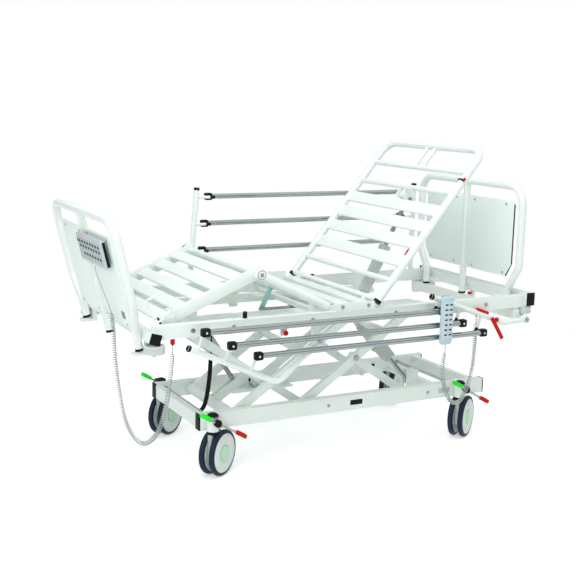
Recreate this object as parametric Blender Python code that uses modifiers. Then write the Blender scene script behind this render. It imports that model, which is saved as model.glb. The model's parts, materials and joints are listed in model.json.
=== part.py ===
# Hospital bed with scissor lift, four-section mattress platform and folding side rails.
# Metres, +Z up, floor at z = 0. X runs from the foot end (-) to the head end (+), Y from near (-) to far (+).

import math

import bmesh
import bpy
from mathutils import Matrix, Vector

# Fits and faceting
CLEARANCE = 0.0003
OVERLAP = 0.001
SIDES = 10

# Castors
WHEEL_RADIUS = 0.100
TREAD_EDGE = 0.008
WHEEL_INNER = 0.0115
WHEEL_OUTER = 0.0385
AXLE_RADIUS = 0.009
TRAIL = 0.040
SWIVEL_AT_REST = math.radians(35)
STEM_RADIUS = 0.010
STEM_TOP = 0.226
COLLAR_RADIUS = 0.020
FORK_THICKNESS = 0.020
CASTOR_X = {"foot": -0.556, "head": 0.729}
CASTOR_Y = 0.300

# Chassis
BEAM_Y = 0.257
BEAM_WIDTH = 0.040
BEAM_BOTTOM = 0.2025
BEAM_TOP = 0.272
BEAM_FOOT = -0.606
BEAM_HEAD = 0.884
CROSS_WIDTH = 0.030
FOOT_CROSS_X = -0.591
HEAD_CROSS_X = 0.845
SOCKET_RADIUS = 0.026
SOCKET_TOP = 0.268
LEDGE_FOOT = -0.250
LEDGE_HEAD = 0.074
LEDGE_THICKNESS = 0.010

# Brake shafts
BRAKE_Z = 0.250
BRAKE_RADIUS = 0.0075
BRAKE_TILT = math.radians(30)
ROCKER_Y = 0.352
ROCKER_WIDTH = 0.016
ROCKER_HEIGHT = 0.010
GREEN_ARM = 0.085
RED_ARM = 0.145
PAD_LENGTH = 0.045
PAD_WIDTH = 0.026
PAD_THICKNESS = 0.012

# Scissor lift
ARM_LENGTH = 0.698
ARM_ANGLE = math.radians(34.1)
ARM_WIDTH = 0.025
ARM_HEIGHT = 0.036
ARM_END = 0.004
BOSS_RADIUS = 0.019
LOWER_PIVOT_Z = 0.235
OUTER_LANE = 0.2175
INNER_LANE = 0.178
FOOT_ARM_X = -0.431
FOOT_LINK_X = -0.649
HEAD_ARM_X = 0.473
PIVOT_RADIUS = 0.009
ROLLER_RADIUS = 0.0195
ROLLER_REACH = 0.006
PIVOT_TUBE_RADIUS = 0.025
CROSS_TUBE_RADIUS = 0.0175
THIN_TUBE_RADIUS = 0.015
FOOT_ARM_TUBE_AT = 0.62
FOOT_LINK_TUBE_AT = 0.85
HEAD_ARM_TUBE_AT = 0.777
HALF_LINK_TUBE_AT = 0.50
LEVER_LENGTH = 0.139
LEVER_THICKNESS = 0.008
LEVER_GAP = 0.026

# Actuators
HOUSING_WIDTH = 0.056
ROD_RADIUS = 0.011
EYE_THICKNESS = 0.020
HEAD_MOTOR_FOOT = Vector((0.634, 0.0, 0.215))

# Deck: every height of the platform is measured from the lift's upper pivots
DECK = LOWER_PIVOT_Z + ARM_LENGTH * math.sin(ARM_ANGLE)
FOOT_MOTOR_PIVOT = Vector((-0.526, 0.0, DECK - 0.0013))

# Platform frame
FRAME_Y = 0.400
FRAME_WIDTH = 0.040
FRAME_BOTTOM = DECK + 0.0187
FRAME_HEIGHT = 0.055
FRAME_TOP = FRAME_BOTTOM + FRAME_HEIGHT
FOOT_LATERAL_X = -0.862
FOOT_LATERAL_Z = DECK + 0.0257
FOOT_LATERAL_SIZE = 0.040
FOOT_LATERAL_TILT = math.radians(16)
HEAD_LATERAL_X = 1.012
HEAD_LATERAL_Z = DECK + 0.0557
HEAD_LATERAL_WIDTH = 0.040
HEAD_LATERAL_HEIGHT = 0.057
LOWER_CROSS_X = 0.944
LOWER_CROSS_Z = DECK - 0.0138
LOWER_CROSS_HEIGHT = 0.045
LOWER_CROSS_WIDTH = 0.030
LOWER_CROSS_HALF = 0.420
TRACK_INNER = 0.150
TRACK_OUTER = 0.2435
TRACK_THICKNESS = 0.022
TRACK_FOOT = -0.690
TRACK_HEAD = 0.514
SEAT_FOOT = -0.045
SEAT_HEAD = 0.150
SEAT_TOP = FRAME_TOP + 0.032
SEAT_BAR = 0.030
HINGE_LUG_Y = 0.300
HINGE_LUG_WIDTH = 0.020
CARRIAGE_HALF = 0.315
CARRIAGE_BOTTOM = DECK + 0.0537
CARRIAGE_TOP = CARRIAGE_BOTTOM + 0.020
CARRIAGE_SLAT_HALF = 0.362

# Mattress sections
TUBE_RADIUS = 0.0175
BAR_RADIUS = 0.0125
SLAT_WIDTH = 0.060
SLAT_THICKNESS = 0.012
BACK_PIVOT = Vector((0.187, 0.0, CARRIAGE_TOP + 0.028))
BACK_ANGLE = math.radians(50.3)
BACK_LENGTH = 0.840
BACK_HALF = 0.390
BACK_CORNER = 0.070
BACK_TAIL = 0.014
BACK_SLATS = (0.21, 0.31, 0.40, 0.49)
BACK_BARS = (0.0, 0.105, 0.592, 0.71)
BACK_MOTOR_AT = 0.56
BACK_MOTOR_DROP = 0.055
BACK_MOTOR_PIVOT = Vector((0.345, 0.0, DECK + 0.0387))
HIP = Vector((-0.081, 0.0, DECK + 0.0987))
THIGH_ANGLE = math.radians(25.7)
THIGH_LENGTH = 0.345
THIGH_HALF = 0.3875
THIGH_SLATS = (0.105, 0.195, 0.275)
KNEE_LEVER = 0.120
KNEE_MOTOR_Y = 0.105
KNEE_MOTOR_Z = DECK - 0.0143
KNEE_MOTOR_FOOT = 0.030
CALF_ANGLE = math.radians(22.6)
CALF_LENGTH = 0.455
CALF_HALF = 0.352
CALF_WIDTH = 0.020
CALF_HEIGHT = 0.050
CALF_SLATS = (0.075, 0.165, 0.255, 0.345, 0.43)
MATTRESS_STOP_OUT = 0.033
MATTRESS_STOP_HEIGHT = 0.120
MATTRESS_STOP_WIRE = 0.0035
MATTRESS_STOP_SIZE = 0.077

# Side rails
RAIL_Y = 0.477
RAIL_ARM_Y = 0.442
RAIL_TUBE_RADIUS = 0.0125
RAIL_ARM_RADIUS = 0.0125
RAIL_LENGTH = 1.176
RAIL_FOOT_PIVOT = Vector((-0.136, 0.0, DECK - 0.0363))
RAIL_PIN_IN = 0.030
RAIL_FOLD = math.radians(70)
RAIL_TUBES = {"top": (-0.100, 0.520), "middle": (-0.120, 0.390), "bottom": (-0.130, 0.260)}
RAIL_FOOT_BEND = (-0.220, 0.119)
RAIL_FOOT_TIP = (-0.186, 0.567)
RAIL_HEAD_BEND = (-0.050, 0.119)
RAIL_HEAD_TIP = (-0.050, 0.567)
RAIL_STUB_RADIUS = 0.007
RAIL_PIN_RADIUS = 0.008
RELEASE_PIVOT = (-0.048, 0.178)
RELEASE_TOP = (-0.049, 0.208)
RELEASE_TAIL = (-0.121, 0.111)
RELEASE_THICKNESS = 0.008
RELEASE_HEIGHT = 0.020

# Boards
BOARD_TUBE_RADIUS = 0.0175
BOARD_HALF = 0.400
BOARD_CORNER = 0.100
BOARD_POST_Y = 0.020
PANEL_THICKNESS = 0.012
HEAD_BOARD_X = 0.959
HEAD_BOARD_RISE = 0.0637
HEAD_BOARD_BASE = DECK + HEAD_BOARD_RISE
HEAD_BOARD_BASE_HALF = 0.330
HEAD_BOARD_FLARE = HEAD_BOARD_BASE + 0.140
HEAD_BOARD_HEIGHT = 0.515
HEAD_BOARD_TOP = HEAD_BOARD_BASE + HEAD_BOARD_HEIGHT
HEAD_POST_BOTTOM = LOWER_CROSS_Z + LOWER_CROSS_HEIGHT / 2 + CLEARANCE
HEAD_PANEL_BOTTOM = HEAD_BOARD_BASE + 0.085
HEAD_PANEL_TOP = HEAD_BOARD_TOP - 0.070
PANEL_HALF = 0.345
FOOT_BOARD_BASE = Vector((-0.904, 0.0, DECK + 0.0037))
FOOT_BOARD_TILT = math.radians(13.9)
FOOT_BOARD_LEG = -0.040
FOOT_LEG_HALF = 0.345
LEG_REST_HALF = 0.015
FOOT_FLARE = 0.160
FOOT_BOARD_RISE = 0.500
FOOT_PANEL_BOTTOM = 0.045
FOOT_PANEL_TOP = FOOT_BOARD_RISE - 0.075
NURSE_LOW = (-0.300, 0.300)
NURSE_HIGH = (0.018, 0.417)
NURSE_DEPTH = 0.026

# Small fittings
BUMPER_FOOT_X = -0.859
BUMPER_HEAD_X = 1.005
BUMPER_RADIUS = 0.044
BUMPER_GAP = 0.006
BUMPER_Y = {"foot": FOOT_LEG_HALF + LEG_REST_HALF + BUMPER_RADIUS + BUMPER_GAP, "head": 0.384}
BUMPER_FOOT_TOP = DECK - 0.0008
BUMPER_HEAD_TOP = DECK + 0.0182
LATERAL_HALF = BUMPER_Y["foot"] + 0.020
BUMPER_HEIGHT = 0.034
BUMPER_PIN = 0.008
KNOB_RADIUS = 0.009
KNOB_LENGTH = 0.021
FOOT_KNOB_X = -0.284
FOOT_KNOB_Z = DECK + 0.0007
HEAD_KNOB_Y = -0.010
HEAD_KNOB_Z = DECK + 0.0127
KNOB_LUG_HALF = 0.014
STOP_PEG_X = -0.463
STOP_PEG_RADIUS = 0.008
STOP_PEG_HEIGHT = 0.028
CONTROL_BOX_LOW = (-0.500, CLEARANCE - TRACK_INNER, DECK - 0.0343)
CONTROL_BOX_HIGH = (-0.360, -0.060, DECK + 0.0237)
HANDSET_LOW = (0.440, -0.5240, 0.530)
HANDSET_HIGH = (0.502, -0.4960, 0.748)

# Cords: the routes are chosen by hand, the curls follow from their number and radius
CORD_RADIUS = 0.0022
CURL_RADIUS = 0.0075
CURL_POINTS = 8
NURSE_CURLS = 32
HANDSET_CURLS = 17
HOSE_RADIUS = 0.005
NURSE_ROUTE = ((-1.003, -0.120, 0.905), (-0.999, -0.122, 0.880), (-0.975, -0.140, 0.800),
               (-0.955, -0.165, 0.730),
               (-0.948, -0.178, 0.660), (-0.945, -0.184, 0.560), (-0.936, -0.200, 0.427), (-0.920, -0.222,
                                                                                           0.300),
               (-0.895, -0.256, 0.220), (-0.860, -0.303, 0.190), (-0.824, -0.355, 0.247), (-0.801, -0.380,
                                                                                           0.350),
               (-0.790, -0.392, 0.440), (-0.782, -0.398, 0.530), (-0.778, -0.400, 0.590), (-0.778, -0.400,
                                                                                           0.6155))
HANDSET_ROUTE = ((0.471, -0.510, 0.5297), (0.471, -0.510, 0.500), (0.462, -0.510, 0.440),
                 (0.466, -0.510, 0.380),
                 (0.490, -0.505, 0.310), (0.535, -0.490, 0.255), (0.600, -0.465, 0.240), (0.660, -0.440,
                                                                                          0.290),
                 (0.700, -0.420, 0.370), (0.718, -0.405, 0.470), (0.724, -0.400, 0.560), (0.724, -0.400,
                                                                                          0.6155))
HOSE_ROUTE = ((-0.478, -0.100, 0.5917), (-0.478, -0.100, 0.560), (-0.479, -0.100, 0.500),
              (-0.482, -0.100, 0.430),
              (-0.487, -0.100, 0.364), (-0.496, -0.100, 0.300), (-0.508, -0.100, 0.255), (-0.525, -0.100,
                                                                                          0.232),
              (-0.546, -0.100, 0.226), (-0.562, -0.100, 0.226), (-0.5755, -0.100, 0.226))


def clear_scene():
    for item in list(bpy.data.objects):
        bpy.data.objects.remove(item)


def collection(name):
    group = bpy.data.collections.new(name)
    bpy.context.scene.collection.children.link(group)
    return group


def material(name, colour, roughness, metallic=0.0):
    result = bpy.data.materials.get(name)
    if result is None:
        result = bpy.data.materials.new(name)
        result.use_nodes = True
        shader = result.node_tree.nodes["Principled BSDF"]
        shader.inputs["Base Color"].default_value = (*colour, 1.0)
        shader.inputs["Roughness"].default_value = roughness
        shader.inputs["Metallic"].default_value = metallic
    return result


def enamel():
    return material("white_enamel", (0.78, 0.82, 0.80), 0.35)


def chrome():
    return material("chrome", (0.60, 0.63, 0.65), 0.12, 1.0)


def grey_plastic():
    return material("grey_plastic", (0.62, 0.66, 0.66), 0.45)


def black_plastic():
    return material("black_plastic", (0.02, 0.02, 0.02), 0.45)


def laminate():
    return material("pale_laminate", (0.74, 0.80, 0.78), 0.30)


def red_plastic():
    return material("red_plastic", (0.65, 0.03, 0.02), 0.40)


def add_mesh(name, mesh, look):
    item = bpy.data.objects.new(name, mesh)
    parts.objects.link(item)
    mesh.materials.clear()
    mesh.materials.append(look)
    return item


def from_bmesh(name, shape, look, smooth=False):
    mesh = bpy.data.meshes.new(name)
    shape.to_mesh(mesh)
    shape.free()
    if smooth:
        mesh.shade_smooth()
        mesh.set_sharp_from_angle(angle=math.radians(40))
    return add_mesh(name, mesh, look)


def box(name, low, high, look, turn=None):
    """Box between two corners; turn is an optional 4x4 matrix applied afterwards."""
    low = Vector(low)
    high = Vector(high)
    shape = bmesh.new()
    bmesh.ops.create_cube(shape, size=1.0)
    bmesh.ops.scale(shape, verts=shape.verts, vec=high - low)
    bmesh.ops.translate(shape, verts=shape.verts, vec=(low + high) / 2)
    if turn is not None:
        bmesh.ops.transform(shape, verts=shape.verts, matrix=turn)
    return from_bmesh(name, shape, look)


def rod(name, start, end, radius, look, sides=SIDES):
    """Solid cylinder between two points."""
    start = Vector(start)
    end = Vector(end)
    shape = bmesh.new()
    bmesh.ops.create_cone(shape, cap_ends=True, segments=sides, radius1=radius, radius2=radius,
                          depth=(end - start).length)
    aim = (end - start).to_track_quat("Z", "Y").to_matrix().to_4x4()
    bmesh.ops.transform(shape, verts=shape.verts, matrix=Matrix.Translation((start + end) / 2) @ aim)
    return from_bmesh(name, shape, look, smooth=True)


def tube(name, points, radius, look, resolution=3, cyclic=False):
    """Bent tube through a list of points, made a mesh with welded caps."""
    data = bpy.data.curves.new(name, "CURVE")
    data.dimensions = "3D"
    data.bevel_depth = radius
    data.bevel_resolution = resolution
    data.use_fill_caps = not cyclic
    spline = data.splines.new("POLY")
    spline.points.add(len(points) - 1)
    for knot, point in zip(spline.points, points):
        knot.co = (*point, 1.0)
    spline.use_cyclic_u = cyclic
    curve = bpy.data.objects.new(name + "_path", data)
    parts.objects.link(curve)
    graph = bpy.context.evaluated_depsgraph_get()
    mesh = bpy.data.meshes.new_from_object(curve.evaluated_get(graph))
    shape = bmesh.new()
    shape.from_mesh(mesh)
    bmesh.ops.remove_doubles(shape, verts=shape.verts, dist=0.00001)
    bmesh.ops.transform(shape, verts=shape.verts, matrix=curve.matrix_world)
    bpy.data.objects.remove(curve)
    return from_bmesh(name, shape, look, smooth=True)


def combine(base, tool, operation):
    step = base.modifiers.new(operation.lower(), "BOOLEAN")
    step.operation = operation
    step.solver = "EXACT"
    step.object = tool
    graph = bpy.context.evaluated_depsgraph_get()
    mesh = bpy.data.meshes.new_from_object(base.evaluated_get(graph))
    base.modifiers.clear()
    base.data = mesh
    bpy.data.objects.remove(tool)


def fuse(base, *pieces):
    for piece in pieces:
        combine(base, piece, "UNION")
    return base


def cut(base, *cutters):
    for cutter in cutters:
        combine(base, cutter, "DIFFERENCE")
    return base


def bore(centre, radius, half_length, axis=(0, 1, 0)):
    """Cutter for a running hole that leaves the clearance all round a faceted shaft."""
    reach = Vector(axis) * half_length
    wall = (radius + CLEARANCE) / math.cos(math.pi / SIDES)
    return rod("bore", Vector(centre) - reach, Vector(centre) + reach, wall, enamel())


def at(point, y):
    return Vector((point[0], y, point[2]))


def bar_between(name, start, end, y, width, height, look, over_start=0.0, over_end=0.0):
    """Rectangular bar in a plane y = constant, with its ends run past the two points."""
    start = at(start, y)
    end = at(end, y)
    run = end - start
    slope = Matrix.Rotation(-math.atan2(run.z, run.x), 4, "Y")
    turn = Matrix.Translation(start) @ slope
    low = (-over_start, -width / 2, -height / 2)
    high = (run.length + over_end, width / 2, height / 2)
    return box(name, low, high, look, turn)


def arc(centre, radius, start, end, steps):
    """Points (u, v) round a centre, angles in radians."""
    return [(centre[0] + radius * math.cos(start + (end - start) * i / steps),
             centre[1] + radius * math.sin(start + (end - start) * i / steps)) for i in range(steps + 1)]


def carry(name, pivot, pieces):
    """Parents the pieces of one moving body to an empty on its joint's axis."""
    empty = bpy.data.objects.new(name + "_joint", None)
    empty.empty_display_size = 0.05
    parts.objects.link(empty)
    empty.location = pivot
    bpy.context.view_layer.update()
    for piece in pieces:
        piece.parent = empty
        piece.matrix_parent_inverse = empty.matrix_world.inverted()
    return empty


def upper_pivot_z():
    return DECK


def arm_run():
    return ARM_LENGTH * math.cos(ARM_ANGLE)


def track_bottom():
    return upper_pivot_z() + ROLLER_RADIUS + CLEARANCE


def build_chassis():
    """Two long beams, cross members, castor sockets, roller ledges and the lift's fixed pivots."""
    look = enamel()
    frame = box("chassis_frame", (BEAM_FOOT, -BEAM_Y - BEAM_WIDTH / 2, BEAM_BOTTOM),
                (BEAM_HEAD, -BEAM_Y + BEAM_WIDTH / 2, BEAM_TOP), look)
    inner = BEAM_Y - BEAM_WIDTH / 2
    reach = inner + 0.010
    for x in (FOOT_CROSS_X, HEAD_CROSS_X):
        fuse(frame, box("cross", (x - CROSS_WIDTH / 2, -reach, BEAM_BOTTOM + 0.004),
                        (x + CROSS_WIDTH / 2, reach, BEAM_TOP - 0.006), look))
    fuse(frame, box("beam", (BEAM_FOOT, inner, BEAM_BOTTOM),
                    (BEAM_HEAD, BEAM_Y + BEAM_WIDTH / 2, BEAM_TOP), look))
    bracket_x = HEAD_MOTOR_FOOT.x
    fuse(frame, box("motor_cross", (bracket_x + 0.034, -reach, BEAM_BOTTOM + 0.002),
                    (bracket_x + 0.064, reach, BEAM_BOTTOM + 0.032), look))
    for side in (-1, 1):
        cheek = LEVER_GAP / 2 + LEVER_THICKNESS / 2
        fuse(frame, box("motor_cheek", (bracket_x - 0.018, side * cheek - LEVER_THICKNESS / 2,
                                        BEAM_BOTTOM - 0.004),
                        (bracket_x + 0.050, side * cheek + LEVER_THICKNESS / 2,
                         HEAD_MOTOR_FOOT.z + 0.060), look))
        ledge_top = LOWER_PIVOT_Z - ROLLER_RADIUS - CLEARANCE
        ledge_in = INNER_LANE - ARM_WIDTH / 2 - 0.004
        ys = sorted((side * ledge_in, side * (inner + 0.005)))
        fuse(frame, box("ledge", (LEDGE_FOOT, ys[0], ledge_top - LEDGE_THICKNESS),
                        (LEDGE_HEAD, ys[1], ledge_top), look))
        fuse(frame, rod("foot_arm_pin", (FOOT_ARM_X, side * (inner + 0.005), LOWER_PIVOT_Z),
                        (FOOT_ARM_X, side * (OUTER_LANE - ARM_WIDTH / 2 + 0.004),
                         LOWER_PIVOT_Z), PIVOT_RADIUS, look))
        fuse(frame, rod("half_link_pin", (HEAD_ARM_X, side * (inner + 0.005), LOWER_PIVOT_Z),
                        (HEAD_ARM_X, side * (INNER_LANE - ARM_WIDTH / 2 - 0.004),
                         LOWER_PIVOT_Z), PIVOT_RADIUS, look))
        for x in CASTOR_X.values():
            fuse(frame, rod("socket", (x, side * CASTOR_Y, BEAM_BOTTOM + 0.001),
                            (x, side * CASTOR_Y, SOCKET_TOP),
                            SOCKET_RADIUS, look, 16))
            stem_space = STEM_TOP + 0.002
            cut(frame, bore((x, side * CASTOR_Y, stem_space - 0.030), STEM_RADIUS, 0.030, (0, 0, 1)))
    for x in CASTOR_X.values():
        cut(frame, bore((x, 0, BRAKE_Z), BRAKE_RADIUS, ROCKER_Y))
    return [frame]


def build_castor(end, side_name, side):
    """Fork with its stem in the chassis socket, and a twin wheel turning on one axle through the fork."""
    stem = Vector((CASTOR_X[end], side * CASTOR_Y, 0.0))
    turn = Matrix.Translation(stem) @ Matrix.Rotation(SWIVEL_AT_REST, 4, "Z")
    tag = end + "_" + side_name
    half = FORK_THICKNESS / 2
    top = BEAM_BOTTOM - 0.010
    fork = box("castor_fork_" + tag, (-0.026, -half, WHEEL_RADIUS - 0.022), (TRAIL + 0.020, half, top),
               grey_plastic())
    fuse(fork, rod("stem", (0, 0, WHEEL_RADIUS), (0, 0, STEM_TOP), STEM_RADIUS, grey_plastic()))
    fuse(fork, rod("collar", (0, 0, WHEEL_RADIUS * 2 + 0.0005), (0, 0, BEAM_BOTTOM + 0.001 - CLEARANCE),
                   COLLAR_RADIUS, grey_plastic()))
    cut(fork, bore((TRAIL, 0, WHEEL_RADIUS), AXLE_RADIUS, FORK_THICKNESS))
    fork.data.transform(turn)
    outer = WHEEL_OUTER
    edge = WHEEL_RADIUS - TREAD_EDGE
    profile = [(0.0, outer), (edge, outer), (WHEEL_RADIUS, outer - TREAD_EDGE),
               (WHEEL_RADIUS, WHEEL_INNER + TREAD_EDGE), (edge, WHEEL_INNER), (AXLE_RADIUS, WHEEL_INNER)]
    profile += [(r, -h) for r, h in reversed(profile)]
    wheel = lathe("castor_wheel_" + tag, profile, 20, black_plastic())
    wheel.data.transform(turn @ Matrix.Translation((TRAIL, 0,
                                                    WHEEL_RADIUS)) @ Matrix.Rotation(math.radians(-90), 4,
                                                                                     "X"))
    carry("castor_swivel_" + tag, stem, [fork])
    carry("castor_roll_" + tag, turn @ Vector((TRAIL, 0, WHEEL_RADIUS)), [wheel])
    return [fork, wheel]


def lathe(name, profile, steps, look):
    """Solid of revolution about Z from (radius, height) points listed from the top down."""
    mesh = bpy.data.meshes.new(name)
    mesh.from_pydata([(r, 0.0, h) for r, h in profile], [(i, i + 1) for i in range(len(profile) - 1)], [])
    item = add_mesh(name, mesh, look)
    turned = item.modifiers.new("turned", "SCREW")
    turned.steps = steps
    turned.render_steps = steps
    turned.use_merge_vertices = True
    turned.merge_threshold = 0.0001
    graph = bpy.context.evaluated_depsgraph_get()
    result = bpy.data.meshes.new_from_object(item.evaluated_get(graph))
    item.modifiers.clear()
    item.data = result
    result.shade_smooth()
    result.set_sharp_from_angle(angle=math.radians(40))
    return item


def build_brake_shaft(end):
    """Hexagonal bar through both castor sockets, with a green and a red pedal pad at each end."""
    x = CASTOR_X[end]
    name = "brake_shaft_" + end
    reach = ROCKER_Y + ROCKER_WIDTH / 2
    shaft = rod(name, (x, -reach + OVERLAP, BRAKE_Z), (x, reach - OVERLAP, BRAKE_Z), BRAKE_RADIUS,
                chrome(), 6)
    for side in (-1, 1):
        turn = Matrix.Translation((x, side * ROCKER_Y, BRAKE_Z)) @ Matrix.Rotation(BRAKE_TILT, 4, "Y")
        half = ROCKER_WIDTH / 2
        rise = ROCKER_HEIGHT / 2
        fuse(shaft, box("rocker", (-GREEN_ARM, -half, -rise), (RED_ARM, half, rise), chrome(), turn))
        fuse(shaft, rod("hub", (x, side * ROCKER_Y - half - 0.002, BRAKE_Z),
                        (x, side * ROCKER_Y + half + 0.002, BRAKE_Z),
                        0.014, chrome()))
        pad_half = PAD_WIDTH / 2
        for low, high in ((-GREEN_ARM - 0.004, -GREEN_ARM + PAD_LENGTH),
                          (RED_ARM - PAD_LENGTH, RED_ARM + 0.004)):
            fuse(shaft, box("pad", (low, -pad_half, -rise + 0.002),
                            (high, pad_half, -rise + 0.002 + PAD_THICKNESS),
                            chrome(), turn))
    carry(name, (x, 0, BRAKE_Z), [shaft])
    return [shaft]


def arm_pair(name, start, end, lane, look):
    """Two parallel lift arms; returned unjoined so that cross tubes can join them."""
    over = ARM_END
    near = bar_between(name, start, end, -lane, ARM_WIDTH, ARM_HEIGHT, look, over, over)
    far = bar_between("far_arm", start, end, lane, ARM_WIDTH, ARM_HEIGHT, look, over, over)
    return near, far


def pivot_eye(arms, point, lane):
    """Round boss with a running bore at a pivot, on both arms of a pair."""
    reach = ARM_WIDTH / 2 + 0.0008
    for side in (-1, 1):
        fuse(arms, rod("boss", at(point, side * lane - reach), at(point, side * lane + reach), BOSS_RADIUS,
                       enamel()))
        cut(arms, bore(at(point, side * lane), PIVOT_RADIUS, ARM_WIDTH))


def join_pair(near, far, point, lane, radius, look):
    reach = lane - ARM_WIDTH / 2 + 0.006
    fuse(near, rod("cross_tube", at(point, -reach), at(point, reach), radius, look), far)
    return near


def build_lift():
    look = enamel()
    high = upper_pivot_z()
    run = arm_run()
    outer_face = ARM_WIDTH / 2

    # Foot arms: turn on the chassis, roll under the platform's tracks
    low_a = Vector((FOOT_ARM_X, 0, LOWER_PIVOT_Z))
    top_a = Vector((FOOT_ARM_X + run, 0, high))
    near, far = arm_pair("foot_arms", low_a, top_a, OUTER_LANE, look)
    arms_a = join_pair(near, far, low_a, OUTER_LANE, PIVOT_TUBE_RADIUS, look)
    tube_a = low_a.lerp(top_a, FOOT_ARM_TUBE_AT)
    reach = OUTER_LANE - outer_face + 0.005
    fuse(arms_a, rod("cross_tube", at(tube_a, -reach), at(tube_a, reach), CROSS_TUBE_RADIUS, look))
    for side in (-1, 1):
        fuse(arms_a, rod("roller", at(top_a, side * (OUTER_LANE - outer_face - ROLLER_REACH)),
                         at(top_a, side * (OUTER_LANE + outer_face + 0.002)), ROLLER_RADIUS, look))
        y = side * (LEVER_GAP + LEVER_THICKNESS) / 2
        tip = low_a + (top_a - low_a).normalized() * LEVER_LENGTH
        fuse(arms_a, bar_between("lever", low_a, tip, y, LEVER_THICKNESS, 0.040, look, 0.0, 0.022))
    for side in (-1, 1):
        fuse(arms_a, rod("boss", at(low_a, side * (OUTER_LANE - 0.010)),
                         at(low_a, side * (OUTER_LANE + outer_face + 0.0008)),
                         PIVOT_TUBE_RADIUS - 0.001, look))
        cut(arms_a, bore(at(low_a, side * (OUTER_LANE + 0.016)), PIVOT_RADIUS, 0.026))

    # Foot links: hang from the platform, roll on the chassis ledges
    top_b = Vector((FOOT_LINK_X, 0, high))
    low_b = Vector((FOOT_LINK_X + run, 0, LOWER_PIVOT_Z))
    near, far = arm_pair("foot_links", top_b, low_b, INNER_LANE, look)
    arms_b = join_pair(near, far, top_b.lerp(low_b, FOOT_LINK_TUBE_AT), INNER_LANE, THIN_TUBE_RADIUS, look)
    for side in (-1, 1):
        fuse(arms_b, rod("roller", at(low_b, side * (INNER_LANE - outer_face - 0.002)),
                         at(low_b, side * (INNER_LANE + outer_face + ROLLER_REACH)), ROLLER_RADIUS, look))
    pivot_eye(arms_b, top_b, INNER_LANE)

    # Head arms: hang from the platform, roll on the chassis ledges, steered by the half links
    top_c = Vector((HEAD_ARM_X, 0, high))
    low_c = Vector((HEAD_ARM_X - run, 0, LOWER_PIVOT_Z))
    middle = low_c.lerp(top_c, 0.5)
    near, far = arm_pair("head_arms", low_c, top_c, OUTER_LANE, look)
    tube_c = low_c.lerp(top_c, HEAD_ARM_TUBE_AT)
    arms_c = join_pair(near, far, tube_c, OUTER_LANE, CROSS_TUBE_RADIUS, look)
    for side in (-1, 1):
        fuse(arms_c, rod("roller", at(low_c, side * (OUTER_LANE - outer_face - ROLLER_REACH)),
                         at(low_c, side * (OUTER_LANE + outer_face + 0.002)), ROLLER_RADIUS, look))
        cut(arms_c, bore(at(middle, side * OUTER_LANE), PIVOT_RADIUS, ARM_WIDTH))
    pivot_eye(arms_c, top_c, OUTER_LANE)

    # Half links: from the chassis to the middle of the head arms
    low_d = Vector((HEAD_ARM_X, 0, LOWER_PIVOT_Z))
    near, far = arm_pair("head_links", middle, low_d, INNER_LANE, look)
    arms_d = join_pair(near, far, middle.lerp(low_d, HALF_LINK_TUBE_AT), INNER_LANE, THIN_TUBE_RADIUS, look)
    for side in (-1, 1):
        fuse(arms_d, rod("middle_pin", at(middle, side * (INNER_LANE + 0.004)),
                         at(middle, side * (OUTER_LANE + outer_face + 0.004)), PIVOT_RADIUS, look))
    pivot_eye(arms_d, low_d, INNER_LANE)

    carry("foot_arms", low_a, [arms_a])
    carry("foot_links", top_b, [arms_b])
    carry("head_arms", middle, [arms_c])
    carry("head_links", low_d, [arms_d])
    lever_tip = low_a + (top_a - low_a).normalized() * LEVER_LENGTH
    foot_motor = build_actuator("foot_lift_motor", FOOT_MOTOR_PIVOT, lever_tip, 0.200, 0.155, 0.042,
                                HOUSING_WIDTH)
    head_motor = build_actuator("head_lift_motor", tube_c, HEAD_MOTOR_FOOT, 0.255, 0.185, 0.055,
                                HOUSING_WIDTH,
                                hold=CROSS_TUBE_RADIUS)
    return [arms_a, arms_b, arms_c, arms_d] + foot_motor + head_motor


def build_actuator(name, pivot, tip, length, rod_start, bore_start, width, hold=None):
    """Motor housing hinged at pivot, with a push rod that slides in its bore towards tip.

    The housing is a square case. The rod ends in a flat eye at tip. With hold, the case is clamped round
    a tube of that radius, otherwise it has a flat lug for a pin.
    """
    pivot = Vector(pivot)
    tip = Vector(tip)
    run = tip - pivot
    turn = Matrix.Translation(pivot) @ Matrix.Rotation(-math.atan2(run.z, run.x), 4, "Y")
    half = width / 2
    start = 0.026 if hold is None else hold + 0.005
    case = box(name + "_housing", (start, -half, -half), (length, half, half), grey_plastic())
    if hold is None:
        fuse(case, box("lug", (-0.014, -EYE_THICKNESS / 2, -0.014), (start + 0.010, EYE_THICKNESS / 2, 0.014),
                       grey_plastic()))
        cut(case, bore((0, 0, 0), PIVOT_RADIUS, EYE_THICKNESS))
    else:
        fuse(case, box("clamp", (-hold - 0.008, -0.020, -hold - 0.008), (start + 0.010, 0.020, hold + 0.008),
                       grey_plastic()))
        cut(case, bore((0, 0, 0), hold, 0.040))
    wall = (ROD_RADIUS + CLEARANCE) / math.cos(math.pi / SIDES)
    cut(case, rod("rod_bore", (bore_start, 0, 0), (length + 0.010, 0, 0), wall, grey_plastic()))
    push = rod(name + "_rod", (rod_start, 0, 0), (run.length - 0.014, 0, 0), ROD_RADIUS, chrome())
    fuse(push, box("eye", (run.length - 0.030, -EYE_THICKNESS / 2, -0.013),
                   (run.length + 0.012, EYE_THICKNESS / 2, 0.013), chrome()))
    for item in (case, push):
        item.data.transform(turn)
    carry(name + "_housing", pivot, [case])
    carry(name + "_rod", tip, [push])
    return [case, push]


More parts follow.
